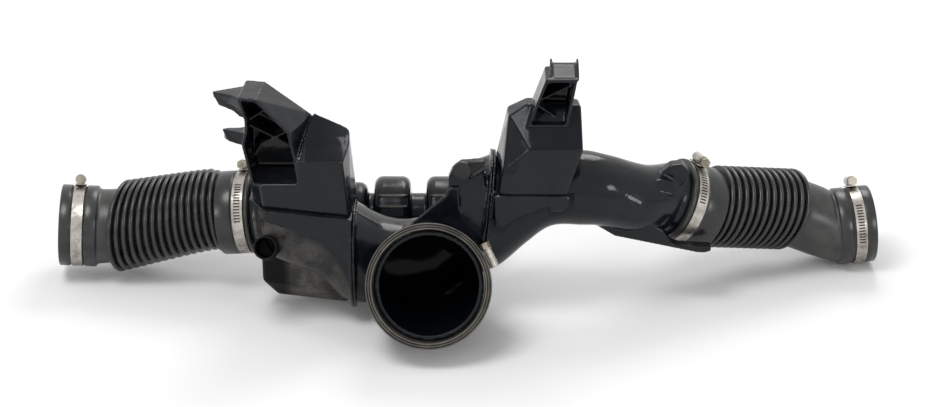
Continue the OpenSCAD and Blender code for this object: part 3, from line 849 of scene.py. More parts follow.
@dataclass
class LeftDuct:
    """Left moulded duct: a lofted body, the deck under its tower, the arched apron and a socket behind."""

    stations: list[Station] = field(
        default_factory=lambda: [
            stub_station(LEFT_BODY, LEFT_BODY_WAY, 11, 0.4, -1),
            stub_station(LEFT_BODY, LEFT_BODY_WAY, 16, 0.2, -1),
            Station((-126, 123, 6), tuple(unit((1, -0.55, 0.1))), 34, 30.5, 2.3),
            Station((-108, 100, 9), tuple(unit((1, -0.4, 0))), 41, 26, 2.8),
            Station((-86, 89, 3), tuple(unit((1, -0.1, 0))), 35, 30, 2.8),
            Station((-72, 86, -8), (1, 0, 0), 33, 37, 2.6),
            LEFT_JOINT.moved(-RIM_THICKNESS / 2),
        ]
    )
    deck: Outline = ((-130, 53), (-61, 53), (-61, 106), (-142, 106), (-142, 74))
    deck_thickness: float = 3.0
    # Where the seam plane is 35.4 high, and how much it falls to the right
    seam: Range = (-98.0, 35.4)
    seam_slope: float = math.radians(6.5)
    apron_depth: Range = (53.0, 57.0)
    apron_ends: Range = (-130.0, -61.0)
    apron_top: Outline = ((-61, 30), (-130, 37.8))
    arch_start: float = 30.0
    arch_bow: float = 18.0
    arch_turn: float = math.radians(75)
    arch_drop: float = 42.0
    socket_x: float = -78.0
    # Dust on the wall below the arch: none at the first value of each range, full at the second
    dust_below: Range = (0.7, 1.2)
    dust_start: Range = (-139.0, -133.0)
    dust_thickens: Range = (-100.0, -108.0)
    dust_back: float = 100.0
    # Painted shade: just under the arch's edge the dust keeps its thin share, rising to the middling share
    # this many millimetres lower; the thick share lies to the left
    arch_shade_fade: float = 18.0
    dust_and_shade_shares: tuple[float, float, float] = (0.08, 0.6, 0.95)

    def seam_height(self, x: Array) -> Array:
        """Height of the sloping seam plane above each x."""
        return self.seam[1] - (x - self.seam[0]) * math.tan(self.seam_slope)

    def arch_height(self, x: Array) -> Array:
        """Height of the apron's lower edge: start - bow sin(turn t) - drop t^5, with t from 0 to 1."""
        t = ramp(x, *self.apron_ends)
        return self.arch_start - self.arch_bow * np.sin(self.arch_turn * t) - self.arch_drop * t**5

    def apron_outline(self) -> Array:
        """Outline of the apron: its arched lower edge and a top inside the deck."""
        x = np.linspace(*self.apron_ends, 24)
        return np.vstack([self.apron_top, np.stack([x, self.arch_height(x)], axis=1)])

    def mark_dust_and_shade(self, piece: bpy.types.Object) -> None:
        """Marks the wall below the arch, which dust has caked; it fades out towards the hose, and just
        under the arch's edge it is held thin as painted shade.

        Args:
            piece: the duct's skin.
        """
        x, y, z = (vertex_values(piece, "co") / MM).T
        under = self.arch_height(x) - z
        below = ramp(under, *self.dust_below) * (y < self.dust_back)
        ends = ramp(x, *self.dust_start) * (x < LEFT_JOINT.centre[0] - 1)
        thin, middling, thick = self.dust_and_shade_shares
        # Painted shade: thinner dust, so a darker wall, just under the arch's edge
        shaded = np.clip(under / self.arch_shade_fade, thin, middling)
        level = shaded + (thick - shaded) * ramp(x, *self.dust_thickens)
        mark(piece, "dust_and_painted_highlight", below * ends * level)

    def build(self, dresser: Dresser) -> None:
        """Builds the duct and dresses it.

        Args:
            dresser: paints the piece and lets it stand for its solid.
        """
        skin = Skin()
        skin.sheet(rings_of(self.stations))
        deck = np.array(self.deck, dtype=float)
        top = self.seam_height(deck[:, 0])
        skin.slab(deck, Plane.TOP, top - self.deck_thickness, top)
        skin.slab(self.apron_outline(), Plane.FRONT, *self.apron_depth)
        add_socket(skin, self.socket_x)
        add_rim(skin, LEFT_JOINT, -RIM_THICKNESS, 0)
        add_stub(skin, LEFT_BODY, LEFT_BODY_WAY)
        piece = skin.build("left_duct_skin")
        fuse(piece, voxel=0.9, passes=3)
        self.mark_dust_and_shade(piece)
        dresser.stand_for(piece, "left_duct", Slot.DUCT)


@dataclass
class CentreDuct:
    """Centre duct between the two weld rims, with the throat and spigot of the outlet."""

    stations: list[Station] = field(
        default_factory=lambda: [
            LEFT_JOINT.moved(RIM_THICKNESS / 2),
            Station((-38, 85, -19), (1, 0, 0), 31, 36, 2.4),
            Station((-18, 86, -22), (1, 0, 0), 31, 35, 2.4),
            Station((2, 89, -19), (1, 0, 0), 32, 36, 2.4),
            Station((14, 92, -8), (1, 0, -0.05), 32, 41, 2.5),
            Station((23, 94, 6), (1, 0, -0.05), 33, 49, 2.6),
            RIGHT_JOINT.moved(-RIM_THICKNESS / 2),
        ]
    )
    throat: list[Station] = field(
        default_factory=lambda: [
            Station(tuple(OUTLET_AXIS * 44), tuple(OUTLET_AXIS), 42.7, 42.7),
            Station(tuple(OUTLET_AXIS * 50), tuple(OUTLET_AXIS), 42.6, 42.6),
            Station((-2, 66, -21), (0, 1, -0.12), 41, 37.5, 2.2),
            Station((-4, 84, -20), (0, 1, 0), 38, 35, 2.4),
        ]
    )
    ear: Outline = ((15, 42), (15, 60), (18, 67), (25, 73), (43, 74), (43, 42))
    ear_depth: Range = (70.0, 78.0)
    plenum: Outline = ((15, 60), (15, 44), (12, 30), (11, 12), (43.6, 12), (43.6, 60))
    # How far forward each corner of the plenum comes
    plenum_front: tuple[float, ...] = (70.0, 65.6, 61.9, 57.0, 57.0, 70.0)
    plenum_back: float = 78.0
    web: Outline = ((-14.5, 23.8), (11.6, 47.3), (16, 55), (24, 55), (24, 30), (-4, 6), (-18, 6))
    web_depth: Range = (62.0, 64.6)
    ribs: tuple[tuple[Point, ...], ...] = (
        ((-59, 79, 26.6), (-50.6, 76.6, 22.1), (-41.1, 74.7, 17.3)),
        ((32, 69.6, 61), (38, 69.6, 64.5), (44, 69.6, 69)),
    )
    rib_radius: float = 1.2
    socket_x: float = 22.0
    spigot_radius: float = 43.2
    spigot_bore: float = 39.4
    spigot_start: float = 22.0
    spigot_length: float = 26.0
    bore_overrun: float = 1.5
    # The painted shade seen through the mouth starts behind the spigot's edge and ends at this depth
    shade_starts: Range = (0.8, 2.8)
    shade_depth: float = 125.0
    shade_facing: float = 0.3
    inside_share: float = 0.94
    inside_front: float = 70.0
    # The painted highlight on the ear lies above, in front of and to the right of this point
    ear_highlight: Point = (31.0, 69.4, 60.4)
    ear_highlight_share: float = 0.5

    def bore(self) -> bpy.types.Object:
        """Makes the air path, from in front of the spigot to both weld rims.

        Returns:
            A closed shape, to be cut out of the duct.
        """
        skin = Skin()
        past = self.bore_overrun
        inner = [self.stations[0].moved(-past), *self.stations, self.stations[-1].moved(past)]
        skin.sheet(rings_of(inner, grow=-WALL))
        skin.sheet(rings_of([self.throat[0].moved(-past), *self.throat], grow=-WALL))
        skin.rod(
            OUTLET_AXIS * (self.spigot_start - 1), OUTLET_AXIS, self.spigot_bore, self.spigot_length
        )
        made = skin.build("centre_duct_bore")
        fuse(made, voxel=1.3, passes=2)
        return made

    def within(self, spots: Array) -> Array:
        """Tells which points lie inside the outer skin of the duct's body.

        Args:
            spots: rows of x, y and z.

        Returns:
            True where ((y - middle) / depth)^2 + ((z - middle) / height)^2, with the sizes that the body
            has at the point's x, is below inside_share.
        """
        x, y, z = spots.T
        rows = np.array([[*s.centre, s.half_depth, s.half_height] for s in self.stations]).T
        mid_y, mid_z, half_y, half_z = (np.interp(x, rows[0], row) for row in rows[1:])
        off = ((y - mid_y) / half_y) ** 2 + ((z - mid_z) / half_z) ** 2
        return (off < self.inside_share) & (y > self.inside_front)

    def mark_inside(self, piece: bpy.types.Object) -> None:
        """Marks painted shade on the walls seen through the mouth, and a painted highlight on the ear's
        ridge.

        Args:
            piece: the duct's skin.
        """
        spots = vertex_values(piece, "co") / MM
        facing = vertex_values(piece, "normal")
        depth = spots @ OUTLET_AXIS
        off = spots - depth[:, None] * OUTLET_AXIS
        radius = np.linalg.norm(off, axis=1)
        inward = -(facing * off).sum(axis=1) / np.maximum(radius, 0.1)
        forward = -facing @ OUTLET_AXIS
        turned_in = (inward > self.shade_facing) | (forward > self.shade_facing)
        seen = (radius < self.spigot_radius) & turned_in & (depth < self.shade_depth)
        seen |= self.within(spots)
        # Painted shade: the walls seen through the mouth are darkened and their gloss taken away
        mark(piece, "painted_shade_and_bare", seen * ramp(depth - self.spigot_start, *self.shade_starts))
        # Painted highlight: the ear's ridge is lightened with the dust colour
        (x, y, z), corner = spots.T, self.ear_highlight
        dust_and_painted_highlight = (x > corner[0]) & (y < corner[1]) & (z > corner[2])
        mark(piece, "dust_and_painted_highlight", self.ear_highlight_share * dust_and_painted_highlight)

    def build(self, dresser: Dresser) -> None:
        """Builds the duct, opens its bore and dresses it.

        Args:
            dresser: paints the piece and lets it stand for its solid.
        """
        skin = Skin()
        skin.sheet(rings_of(self.stations))
        skin.sheet(rings_of(self.throat))
        skin.rod(
            OUTLET_AXIS * self.spigot_start, OUTLET_AXIS, self.spigot_radius, self.spigot_length
        )
        add_rim(skin, LEFT_JOINT, 0, RIM_THICKNESS)
        add_rim(skin, RIGHT_JOINT, -RIM_THICKNESS, 0)
        skin.slab(self.ear, Plane.FRONT, *self.ear_depth)
        skin.slab(self.plenum, Plane.FRONT, self.plenum_front, self.plenum_back)
        skin.slab(self.web, Plane.FRONT, *self.web_depth)
        for line in self.ribs:
            skin.ridge(line, self.rib_radius)
        add_socket(skin, self.socket_x)
        piece = skin.build("centre_duct_skin")
        fuse(piece, voxel=1.05, passes=2, hollow=self.bore())
        self.mark_inside(piece)
        dresser.stand_for(piece, "centre_duct", Slot.DUCT)


@dataclass
class RightDuct:
    """Right moulded duct: a lofted body, the deck and apron under its tower, keel, gusset, pads, stub."""

    stations: list[Station] = field(
        default_factory=lambda: [
            RIGHT_JOINT.moved(RIM_THICKNESS / 2),
            Station((56, 97, 21), (1, 0, 0), 33, 45, 2.6),
            Station((75, 98, 29.5), (1, 0, 0.1), 31, 33.5, 2.5),
            Station((95, 98, 36), (1, 0, 0.1), 29, 26.5, 2.3),
            Station((120, 98, 39), (1, 0.05, 0), 28, 30, 2.1),
            Station((140, 99.5, 35.8), (1, 0.2, -0.2), 28, 28.7),
            Station((168, 111, 23.3), tuple(unit((0.9, 0.35, -0.35))), 27.5, 28),
            stub_station(RIGHT_BODY, RIGHT_BODY_WAY, 16, 0.2, 1),
            stub_station(RIGHT_BODY, RIGHT_BODY_WAY, 11, 0.4, 1),
        ]
    )
    deck: Outline = ((51, 54), (107, 54), (109, 90), (54, 90), (51, 70))
    deck_height: Range = (48.0, 51.0)
    apron: Outline = (
        (51, 49.5), (51, 25), (57, 24), (67, 32), (80, 37.5), (92.5, 43), (95, 38.2), (104, 37.8),
        (109, 43), (110, 49.5),
    )
    apron_depth: Range = (54.0, 58.0)
    keel: Outline = (
        (128, 16), (131.7, 9.5), (148.4, -1), (186, -9.3), (214.5, -15.6), (221, -16.2), (226, -14.4),
        (226.5, -11.2), (212, -10.5), (200, -9.4), (194, -7.5), (187, 4), (160, 18),
    )
    keel_depth: Range = (91.0, 102.0)
    gusset: Outline = ((174, 32), (176, 38.5), (193, 53), (202, 54), (209, 46.5), (204, 38), (192, 28))
    gusset_depth: Range = (109.0, 120.0)
    # Middle, facing, turn, length and width, and height of each pad
    pads: tuple[tuple[Point, Point, float, Range, float], ...] = (
        ((188, 98.6, 38.5), (0.35, -0.75, 0.56), 68, (20, 12), 5),
        ((162.2, 78.6, 37.2), (0.3, -0.85, 0.43), 55, (17, 7), 4),
    )
    crease: tuple[Point, ...] = ((112, 88.4, 68.2), (119, 88.9, 67.4), (148, 93.2, 59.6), (177, 108, 47.5))
    crease_radius: float = 1.1
    # The painted shade under the apron: none at the first distance below its edge, full at the second
    shade_below: Range = (14.0, 0.0)
    shade_depth: Range = (58.5, 80.0)
    shade_ends: Range = (45.0, 114.0)
    shade_above: float = 4.0
    shade_share: float = 0.85

    def mark_painted_shade(self, piece: bpy.types.Object) -> None:
        """Marks painted shade on the wall under the apron, darkest at the apron's edge and gone further
        down.

        Args:
            piece: the duct's skin.
        """
        x, y, z = (vertex_values(piece, "co") / MM).T
        edge = np.interp(x, *np.array(self.apron[1:-1], dtype=float).T)
        near = ramp(edge - z, *self.shade_below) * (z < edge + self.shade_above)
        wall = (y > self.shade_depth[0]) & (y < self.shade_depth[1])
        wall &= (x > self.shade_ends[0]) & (x < self.shade_ends[1])
        # Painted shade: the wall under the apron is darkened and its gloss taken away
        mark(piece, "painted_shade_and_bare", self.shade_share * near * wall)

    def build(self, dresser: Dresser) -> None:
        """Builds the duct and dresses it.

        Args:
            dresser: paints the piece and lets it stand for its solid.
        """
        skin = Skin()
        skin.sheet(rings_of(self.stations))
        skin.slab(self.deck, Plane.TOP, *self.deck_height)
        skin.slab(self.apron, Plane.FRONT, *self.apron_depth)
        skin.slab(self.keel, Plane.FRONT, *self.keel_depth)
        skin.slab(self.gusset, Plane.FRONT, *self.gusset_depth)
        for pad in self.pads:
            skin.pad(*pad)
        skin.ridge(self.crease, self.crease_radius)
        add_rim(skin, RIGHT_JOINT, 0, RIM_THICKNESS)
        add_stub(skin, RIGHT_BODY, RIGHT_BODY_WAY)
        piece = skin.build("right_duct_skin")
        fuse(piece, voxel=0.9, passes=3)
        self.mark_painted_shade(piece)
        dresser.stand_for(piece, "right_duct", Slot.DUCT)


@dataclass
class MouldedBoxes:
    """The two towers and the lower chamber: the frame's solids with their edges softened as moulded."""

    voxel: float = 0.8
    edge_passes: int = 3
    # The roof's slope at two places along X, and the depth and height of the fold that it climbs from
    roof_x: Range = (-100.5, -55.0)
    roof_slope: Range = (0.79, 0.151)
    roof_fold: Range = (61.0, 77.9)
    roof_plan: Outline = ((-100.2, 59), (-67.6, 59), (-64.3, 97.6), (-91, 97))
    roof_lean: float = 0.25
    roof_thickness: float = 7.0
    # Front, back and top of the space above the roof
    roof_space: tuple[float, float, float] = (59.0, 101.0, 160.0)
    # Each prong's outline from the front, and how far forward each corner comes
    prongs: tuple[tuple[Outline, tuple[float, ...]], ...] = (
        (
            ((-170.5, 122.3), (-165, 113.2), (-153, 112.6), (-147, 109), (-141, 109), (-141, 127)),
            (94.5, 90.0, 80.0, 76.0, 72.0, 68.0),
        ),
        (
            ((-164, 91), (-158.5, 82.8), (-149.5, 82), (-141, 80), (-141, 92)),
            (94.5, 89.0, 84.0, 80.0, 80.0),
        ),
    )
    prong_back: float = 97.6
    # Painted shade on the roofs: how far up a face has to look for none and for all of it
    shade_facing: Range = (0.25, 0.45)
    shade_share: float = 0.7
    shade_left_end: float = -97.0
    shade_bottom: float = 70.0
    chamber_passes: int = 6
    # Where the chamber is dusty in full, and where its end is bare of dust, darker and duller
    clean_end: Range = (-112.0, -119.0)
    chamber_dust: float = 0.85
    nozzle_mouth: Point = (-129.0, 45.0, 11.1)
    nozzle_depth: float = 26.0
    nozzle_radius: float = 9.0
    nozzle_floor: float = 3.0

    def roof_height(self, x: Array, y: Array) -> Array:
        """Height of the left tower's roof, which climbs from its fold and climbs less to the right."""
        return self.roof_fold[1] + (y - self.roof_fold[0]) * np.interp(x, self.roof_x, self.roof_slope)

    def above_roof(self) -> bpy.types.Object:
        """Makes the space above the left tower's roof, right of the bracket's leaning plate.

        Returns:
            A closed shape that stands on the roof, its left side leaning with the plate.
        """
        front, back, top = self.roof_space
        x = np.linspace(*self.roof_x, 24)[:, None]
        lean = np.linspace(self.roof_lean, 0, 24)[:, None]
        y = np.array([[back, back, front, front]]) * np.ones_like(x)
        z = np.where([[False, True, True, False]], top, self.roof_height(x, y))
        skin = Skin()
        skin.sheet(np.stack([x + lean * (z - self.roof_fold[1]), y, z], axis=2))
        return skin.build("above_left_roof")

    def mark_top(self, piece: bpy.types.Object) -> None:
        """Marks painted shade on a tower's roof: faces that look up, right of the bracket and high up, are
        darkened and dulled.

        Args:
            piece: the tower's skin.
        """
        x, _, z = (vertex_values(piece, "co") / MM).T
        up = vertex_values(piece, "normal")[:, 2]
        roof = (x > self.shade_left_end) & (z > self.shade_bottom)
        # Painted shade: up-facing roof faces are darkened and their gloss taken away
        mark(piece, "painted_shade_and_bare", self.shade_share * ramp(up, *self.shade_facing) * roof)

    def left_tower(self, dresser: Dresser) -> None:
        """Builds the left tower with thick prongs and one flat roof.

        Args:
            dresser: paints the piece and lets it stand for its solid.
        """
        skin = Skin()
        for outline, front in self.prongs:
            skin.slab(outline, Plane.FRONT, front, self.prong_back)
        plan = np.array(self.roof_plan)
        top = self.roof_height(plan[:, 0], plan[:, 1])
        skin.slab(plan, Plane.TOP, top - self.roof_thickness, top + self.roof_thickness / 2)
        extra = skin.build("left_prongs")
        piece = dresser.copy_of("left_tower")
        join(piece, extra)
        fuse(piece, self.voxel, passes=0, hollow=self.above_roof())
        fuse(piece, self.voxel, self.edge_passes)
        self.mark_top(piece)
        dresser.stand_for(piece, "left_tower", Slot.DUCT)

    def right_tower(self, dresser: Dresser) -> None:
        """Builds the right tower.

        Args:
            dresser: paints the piece and lets it stand for its solid.
        """
        piece = dresser.copy_of("right_tower")
        fuse(piece, self.voxel, self.edge_passes)
        self.mark_top(piece)
        dresser.stand_for(piece, "right_tower", Slot.DUCT)

    def chamber(self, dresser: Dresser) -> None:
        """Builds the chamber, dusty but for its bare, darker left end, with a floor in its nozzle.

        Args:
            dresser: paints the piece and lets it stand for its solid.
        """
        skin = Skin()
        floor = np.array(self.nozzle_mouth) + OUTLET_AXIS * self.nozzle_depth
        skin.rod(floor, OUTLET_AXIS, self.nozzle_radius, self.nozzle_floor)
        piece = dresser.copy_of("lower_chamber")
        join(piece, skin.build("nozzle_floor"))
        fuse(piece, self.voxel, self.chamber_passes)
        bare_end = ramp(vertex_values(piece, "co")[:, 0] / MM, *self.clean_end)
        mark(piece, "painted_shade_and_bare", bare_end)
        mark(piece, "dust_and_painted_highlight", self.chamber_dust * (1 - bare_end))
        dresser.stand_for(piece, "lower_chamber", Slot.CHAMBER)

    def build(self, dresser: Dresser) -> None:
        """Builds and dresses the three boxes.

        Args:
            dresser: paints each and lets it stand for its solid.
        """
        self.left_tower(dresser)
        self.right_tower(dresser)
        self.chamber(dresser)


@dataclass
class CrossoverTube:
    """Tube behind the centre duct with three big rounded convolutions and two ports."""

    ends: Range = (-94.0, 38.0)
    valley_radius: float = 19.0
    edge: float = 7.0
    # Start, end and radius of each hump
    humps: tuple[Point, ...] = ((-84, -52.5, 28), (-47, -17, 33), (-4, 26, 33))
    ports: Range = (-78.0, 22.0)
    port_radius: float = 14.0
    port_length: float = 48.0
    ridge_angles: Range = (35.0, 52.0)
    ridge_inset: Range = (4.0, 2.0)
    ridge_radius: float = 0.7
    # Height of a ridge above its hump where its painted highlight starts and where it is full, and what is
    # no ridge
    highlight_height: Range = (0.15, 0.4)
    ridge_top: float = 2.0
    # How far up a face looks where it has no painted shade and where it is black with painted shade
    shade_facing: Range = (0.93, 0.73)
    count: int = 144

    def add_ridges(self, skin: Skin) -> None:
        """Adds two thin level ridges to the front of each big hump, turned forward from its top.

        Args:
            skin: the tube's skin.
        """
        for low, high, radius in self.humps[1:]:
            x = np.linspace(low + self.ridge_inset[0], high - self.ridge_inset[1], 8)
            for angle in np.radians(self.ridge_angles):
                y = np.full(8, CROSS_LINE[0] - radius * math.sin(angle))
                z = np.full(8, CROSS_LINE[1] + radius * math.cos(angle))
                skin.ridge(np.stack([x, y, z], axis=1), self.ridge_radius)

    def mark_shade(self, piece: bpy.types.Object) -> None:
        """Marks painted shade on the tube's lower front, and a painted highlight in the dust colour on its
        ridges.

        Args:
            piece: the tube's skin.
        """
        _, y, z = (vertex_values(piece, "co") / MM).T
        _, back, up = vertex_values(piece, "normal").T
        height = np.hypot(y - CROSS_LINE[0], z - CROSS_LINE[1]) - self.humps[-1][2]
        # Painted highlight: the ridges are lightened with the dust colour
        raised = ramp(height, *self.highlight_height) * (height < self.ridge_top)
        # Painted shade: the lower front is darkened and its gloss taken away
        shade = ramp(up, *self.shade_facing) * (back < 0) * (1 - raised)
        mark(piece, "painted_shade_and_bare", shade)
        mark(piece, "dust_and_painted_highlight", raised)

    def profile(self) -> Array:
        """Works out the tube's profile: humps that rise square from the valley, with round shoulders.

        Returns:
            Rows of distance and radius. A shoulder is a quarter circle, as e (1 - cos a) and e (1 - sin a).
        """
        a = np.linspace(0, math.pi / 2, 9)
        near, far = self.edge * (1 - np.cos(a)), self.edge * (1 - np.sin(a))
        rows = [[[self.ends[0], self.valley_radius]]]
        for low, high, radius in self.humps:
            rise = np.stack([low + near, radius - far], axis=1)
            fall = np.stack([high - far, radius - near], axis=1)
            rows += [[[low - 0.1, self.valley_radius]], rise, fall, [[high + 0.1, self.valley_radius]]]
        return np.vstack([*rows, [[self.ends[1], self.valley_radius]]])

    def build(self, dresser: Dresser) -> None:
        """Builds the tube and dresses it.

        Args:
            dresser: paints the piece and lets it stand for its solid.
        """
        skin = Skin()
        skin.sheet(turned_profile((0, *CROSS_LINE), (1, 0, 0), self.profile(), self.count))
        for x in self.ports:
            start = (x, SOCKET_START + 2, CROSS_LINE[1])
            skin.rod(start, (0, 1, 0), self.port_radius, self.port_length)
        self.add_ridges(skin)
        piece = skin.build("crossover_tube_skin")
        fuse(piece, voxel=0.8, passes=1)
        self.mark_shade(piece)
        dresser.stand_for(piece, "crossover_tube", Slot.DUCT)


@dataclass
class OutletSleeve:
    """Rubber outlet sleeve turned round the outlet's axis: a worn, grooved front lip and a second lip."""

    # Depth behind the mouth and radius: the grooved lip, the clamp's seat, the second lip, the inside
    rows: Outline = (
        (0.4, 44.0), (0.0, 44.3), (0.0, 44.9), (0.4, 45.2), (1.3, 45.4), (1.4, 45.8), (0.5, 46.1),
        (0.2, 46.4), (0.2, 46.8), (0.6, 47.1), (1.6, 47.3), (1.7, 47.6), (0.9, 47.9), (0.4, 48.2),
        (0.4, 48.6), (1.0, 48.9), (1.6, 49.0), (3.4, 49.0), (4.0, 48.7), (4.3, 48.0), (4.5, 47.2),
        (5.0, 47.0), (15.9, 47.0), (16.4, 47.3), (16.7, 48.1), (17.3, 48.4), (19.8, 48.4), (20.3, 48.1),
        (20.6, 47.3), (21.2, 47.0), (33.4, 47.0), (34.0, 46.4), (34.0, 43.8), (33.5, 43.4), (22.3, 43.4),
        (22.0, 44.0),
    )
    count: int = 180
    worn_depth: float = 0.9
    worn_radius: float = 47.9
    worn_rim: float = 0.3

    def build(self, dresser: Dresser) -> None:
        """Builds the sleeve, marks its worn front and dresses it.

        Args:
            dresser: paints the piece and lets it stand for its solid.
        """
        profile = np.array(self.rows)
        depth, radius = profile.T
        skin = Skin()
        skin.sheet(turned_profile((0, 0, 0), OUTLET_AXIS, profile, self.count), closed=True)
        piece = skin.build("outlet_sleeve_skin")
        front = ramp(depth, self.worn_depth, 0) + self.worn_rim * (radius > self.worn_radius)
        mark(piece, "wear", np.repeat(np.clip(front, 0, 1), self.count))
        dresser.stand_for(piece, "outlet_sleeve", Slot.SLEEVE)


@dataclass
class BellowsHose:
    """Rubber hose: a cuff on its stub, rounded crests, a smooth neck and a grooved inlet sleeve.

    Each method that gives rings returns their centres, ways, radii and shares of wear.
    """

    node: str
    body: Point
    body_way: Array
    # Centre, way and radius of the first and of the last crest
    start: tuple[Point, Point, float]
    end: tuple[Point, Point, float]
    crests: int
    mouth: Point
    mouth_way: Point
    inlet_radius: float
    neck_radius: float
    lift: float = 0.0
    cuff_radius: float = 33.2
    cuff_bore: float = 29.7
    fold_depth: float = 5.0
    crest_width: float = 3.9
    rubber: float = 3.6
    fold_rubber: float = 2.8
    neck_start: float = 2.6
    shoulder: float = 2.4
    sleeve_length: float = 32.0
    lining_ends: Range = (12.0, -9.0)
    lining_wear: float = 0.3
    count: int = 144

    def fold_line(self, t: Array) -> tuple[Array, Array, Array]:
        """Works out the line that the folds follow.

        The centre is the straight line plus lift sin(180 t^0.4) upwards in the view, and the radius goes
        as t^1.2.

        Args:
            t: shares of the way along the bellows.

        Returns:
            Centre, way and crest radius at each share.
        """
        radius = self.start[2] + (self.end[2] - self.start[2]) * t**1.2
        t = t[:, None]
        first, last = np.array(self.start[0]), np.array(self.end[0])
        centre = first + (last - first) * t + VIEW_UP * self.lift * np.sin(math.pi * t**0.4)
        way = unit(unit(self.start[1]) * (1 - t) + unit(self.end[1]) * t)
        return centre, way, radius

    def cuff(self) -> tuple[Array, Array, Array, Array]:
        """Works out the cuff: a lip, the clamp's seat and a smooth bead before the first fold.

        Returns:
            The cuff's rings.
        """
        length = float(np.linalg.norm(np.array(self.start[0]) - np.array(self.body)))
        r = self.cuff_radius
        # Distance along the stub, radius and wear
        rows = np.array(
            [
                (-9.0, r - 2.6, 0.6), (-9.0, r + 0.6, 0.5), (-8.6, r + 1.3, 0.2), (-6.7, r + 1.4, 0.1),
                (-6.1, r + 1.1, 0.3), (-5.7, r, 0.8), (4.9, r, 0.6), (5.4, r + 0.2, 0.5),
                (6.0, r + 0.9, 0.1), (6.6, r + 1.1, 0.0), (length - 4.6, r + 1.1, 0.0),
                (length - 3.6, r + 0.5, 0.3), (length - 3.1, r - 1.6, 0.8),
            ]
        )
        way = np.broadcast_to(self.body_way, (len(rows), 3))
        return np.array(self.body) + way * rows[:, :1], way, rows[:, 1], rows[:, 2]

    def bellows(self) -> tuple[Array, Array, Array, Array]:
        """Works out the folds: each crest is a half circle, as sin a and cos a, on two steep flanks.

        Returns:
            The folds' rings, all crests in a row.
        """
        half, deep = self.crest_width / 2, self.fold_depth
        a = np.radians(np.linspace(-90, 90, 11))
        gap = np.linalg.norm(np.array(self.end[0]) - np.array(self.start[0])) / (self.crests - 1) / 2
        rise = [-gap, -half - 0.35, -half - 0.1]
        fall = [half + 0.1, half + 0.35]
        along = np.concatenate([rise, half * np.sin(a), fall])
        drop = np.concatenate(
            [[deep, deep - 0.4, deep - 1.4], half * (1 - np.cos(a)), [deep - 1.4, deep - 0.4]]
        )
        t = np.repeat(np.linspace(0, 1, self.crests), len(along))
        along, drop = np.tile(along, self.crests), np.tile(drop, self.crests)
        centre, way, radius = self.fold_line(t)
        wear = np.clip(0.12 - drop / deep, 0, 1)
        return centre + way * along[:, None], way, radius - drop, wear

    def neck_line(self) -> tuple[Array, Array, Array]:
        """Finds the straight neck between the last crest and the inlet sleeve.

        Returns:
            Its start, its end and its direction.
        """
        first = np.array(self.end[0])
        last = np.array(self.mouth) - unit(self.mouth_way) * self.sleeve_length
        return first, last, unit(last - first)

    def neck(self) -> tuple[Array, Array, Array, Array]:
        """Works out the neck: a shoulder that falls as e^-s from the last crest, then widens as s^4.

        Returns:
            The neck's rings, which turn from the last crest's way into the sleeve's.
        """
        first, last, way = self.neck_line()
        length = float(np.linalg.norm(last - first))
        s = np.linspace(self.neck_start, length, 14)[:, None]
        share = s / length
        ways = unit(unit(self.end[1]) * (1 - share) ** 2 + way * share**0.5)
        lean = unit(ways * (1 - share**3) + unit(self.mouth_way) * share**3)
        falling = self.shoulder * np.exp((self.neck_start - s[:, 0]) / self.shoulder)
        radius = self.neck_radius + falling + 0.6 * share[:, 0] ** 4
        return first + way * s, lean, radius, 0.15 + 0.4 * np.sqrt(share[:, 0])

    def sleeve(self) -> tuple[Array, Array, Array, Array]:
        """Works out the inlet sleeve: two collars, the clamp's groove between them, and a rounded mouth.

        Returns:
            The sleeve's rings.
        """
        r = self.inlet_radius + self.rubber
        # Distance from the mouth, radius and wear
        rows = np.array(
            [
                (-30.3, r - 1.6, 0.5), (-30.0, r - 0.5, 0.3), (-29.4, r, 0.1), (-21.2, r, 0.0),
                (-20.7, r - 0.2, 0.2), (-20.4, r - 1, 0.7), (-8.6, r - 1, 0.6), (-8.3, r - 0.2, 0.2),
                (-7.8, r, 0.0), (-0.8, r, 0.1), (-0.2, r - 0.3, 0.3), (0.0, r - 1, 0.4),
                (0.0, r - 2.8, 0.4), (-0.3, r - 3.4, 0.3), (-1.0, r - self.rubber, 0.2),
                (-25.0, r - self.rubber, 0.2),
            ]
        )
        way = np.broadcast_to(unit(self.mouth_way), (len(rows), 3))
        return np.array(self.mouth) + way * rows[:, :1], way, rows[:, 1], rows[:, 2]

    def lining(self) -> tuple[Array, Array, Array, Array]:
        """Works out the inside, from the sleeve back through the neck and folds to the cuff.

        Returns:
            The lining's rings.
        """
        first, last, way = self.neck_line()
        s = np.linspace(float(np.linalg.norm(last - first)), 2, 5)[:, None]
        neck = first + way * s
        folds, fold_ways, fold_radius = self.fold_line(np.linspace(1, 0, 12))
        tail = np.array(self.body) + self.body_way * np.array(self.lining_ends)[:, None]
        centre = np.vstack([neck, folds, tail])
        neck_ways = np.broadcast_to(way, neck.shape)
        tail_ways = np.broadcast_to(self.body_way, tail.shape)
        neck_radius = np.full(len(neck), self.neck_radius - self.fold_rubber)
        inner_radius = fold_radius - self.fold_depth - self.fold_rubber
        radius = np.concatenate([neck_radius, inner_radius, [self.cuff_bore] * len(tail)])
        wear = np.full(len(radius), self.lining_wear)
        return centre, np.vstack([neck_ways, fold_ways, tail_ways]), radius, wear

    def build(self, dresser: Dresser) -> None:
        """Builds the hose as one closed skin, marks its folds and dresses it.

        Args:
            dresser: paints the piece and lets it stand for its solid.
        """
        parts = [self.cuff(), self.bellows(), self.neck(), self.sleeve(), self.lining()]
        centre, way, radius, wear = (np.concatenate([p[i] for p in parts]) for i in range(4))
        skin = Skin()
        skin.sheet(turned(centre, way, radius, self.count), closed=True)
        piece = skin.build(self.node + "_skin")
        mark(piece, "wear", np.repeat(wear, self.count))
        dresser.stand_for(piece, self.node, Slot.HOSE)


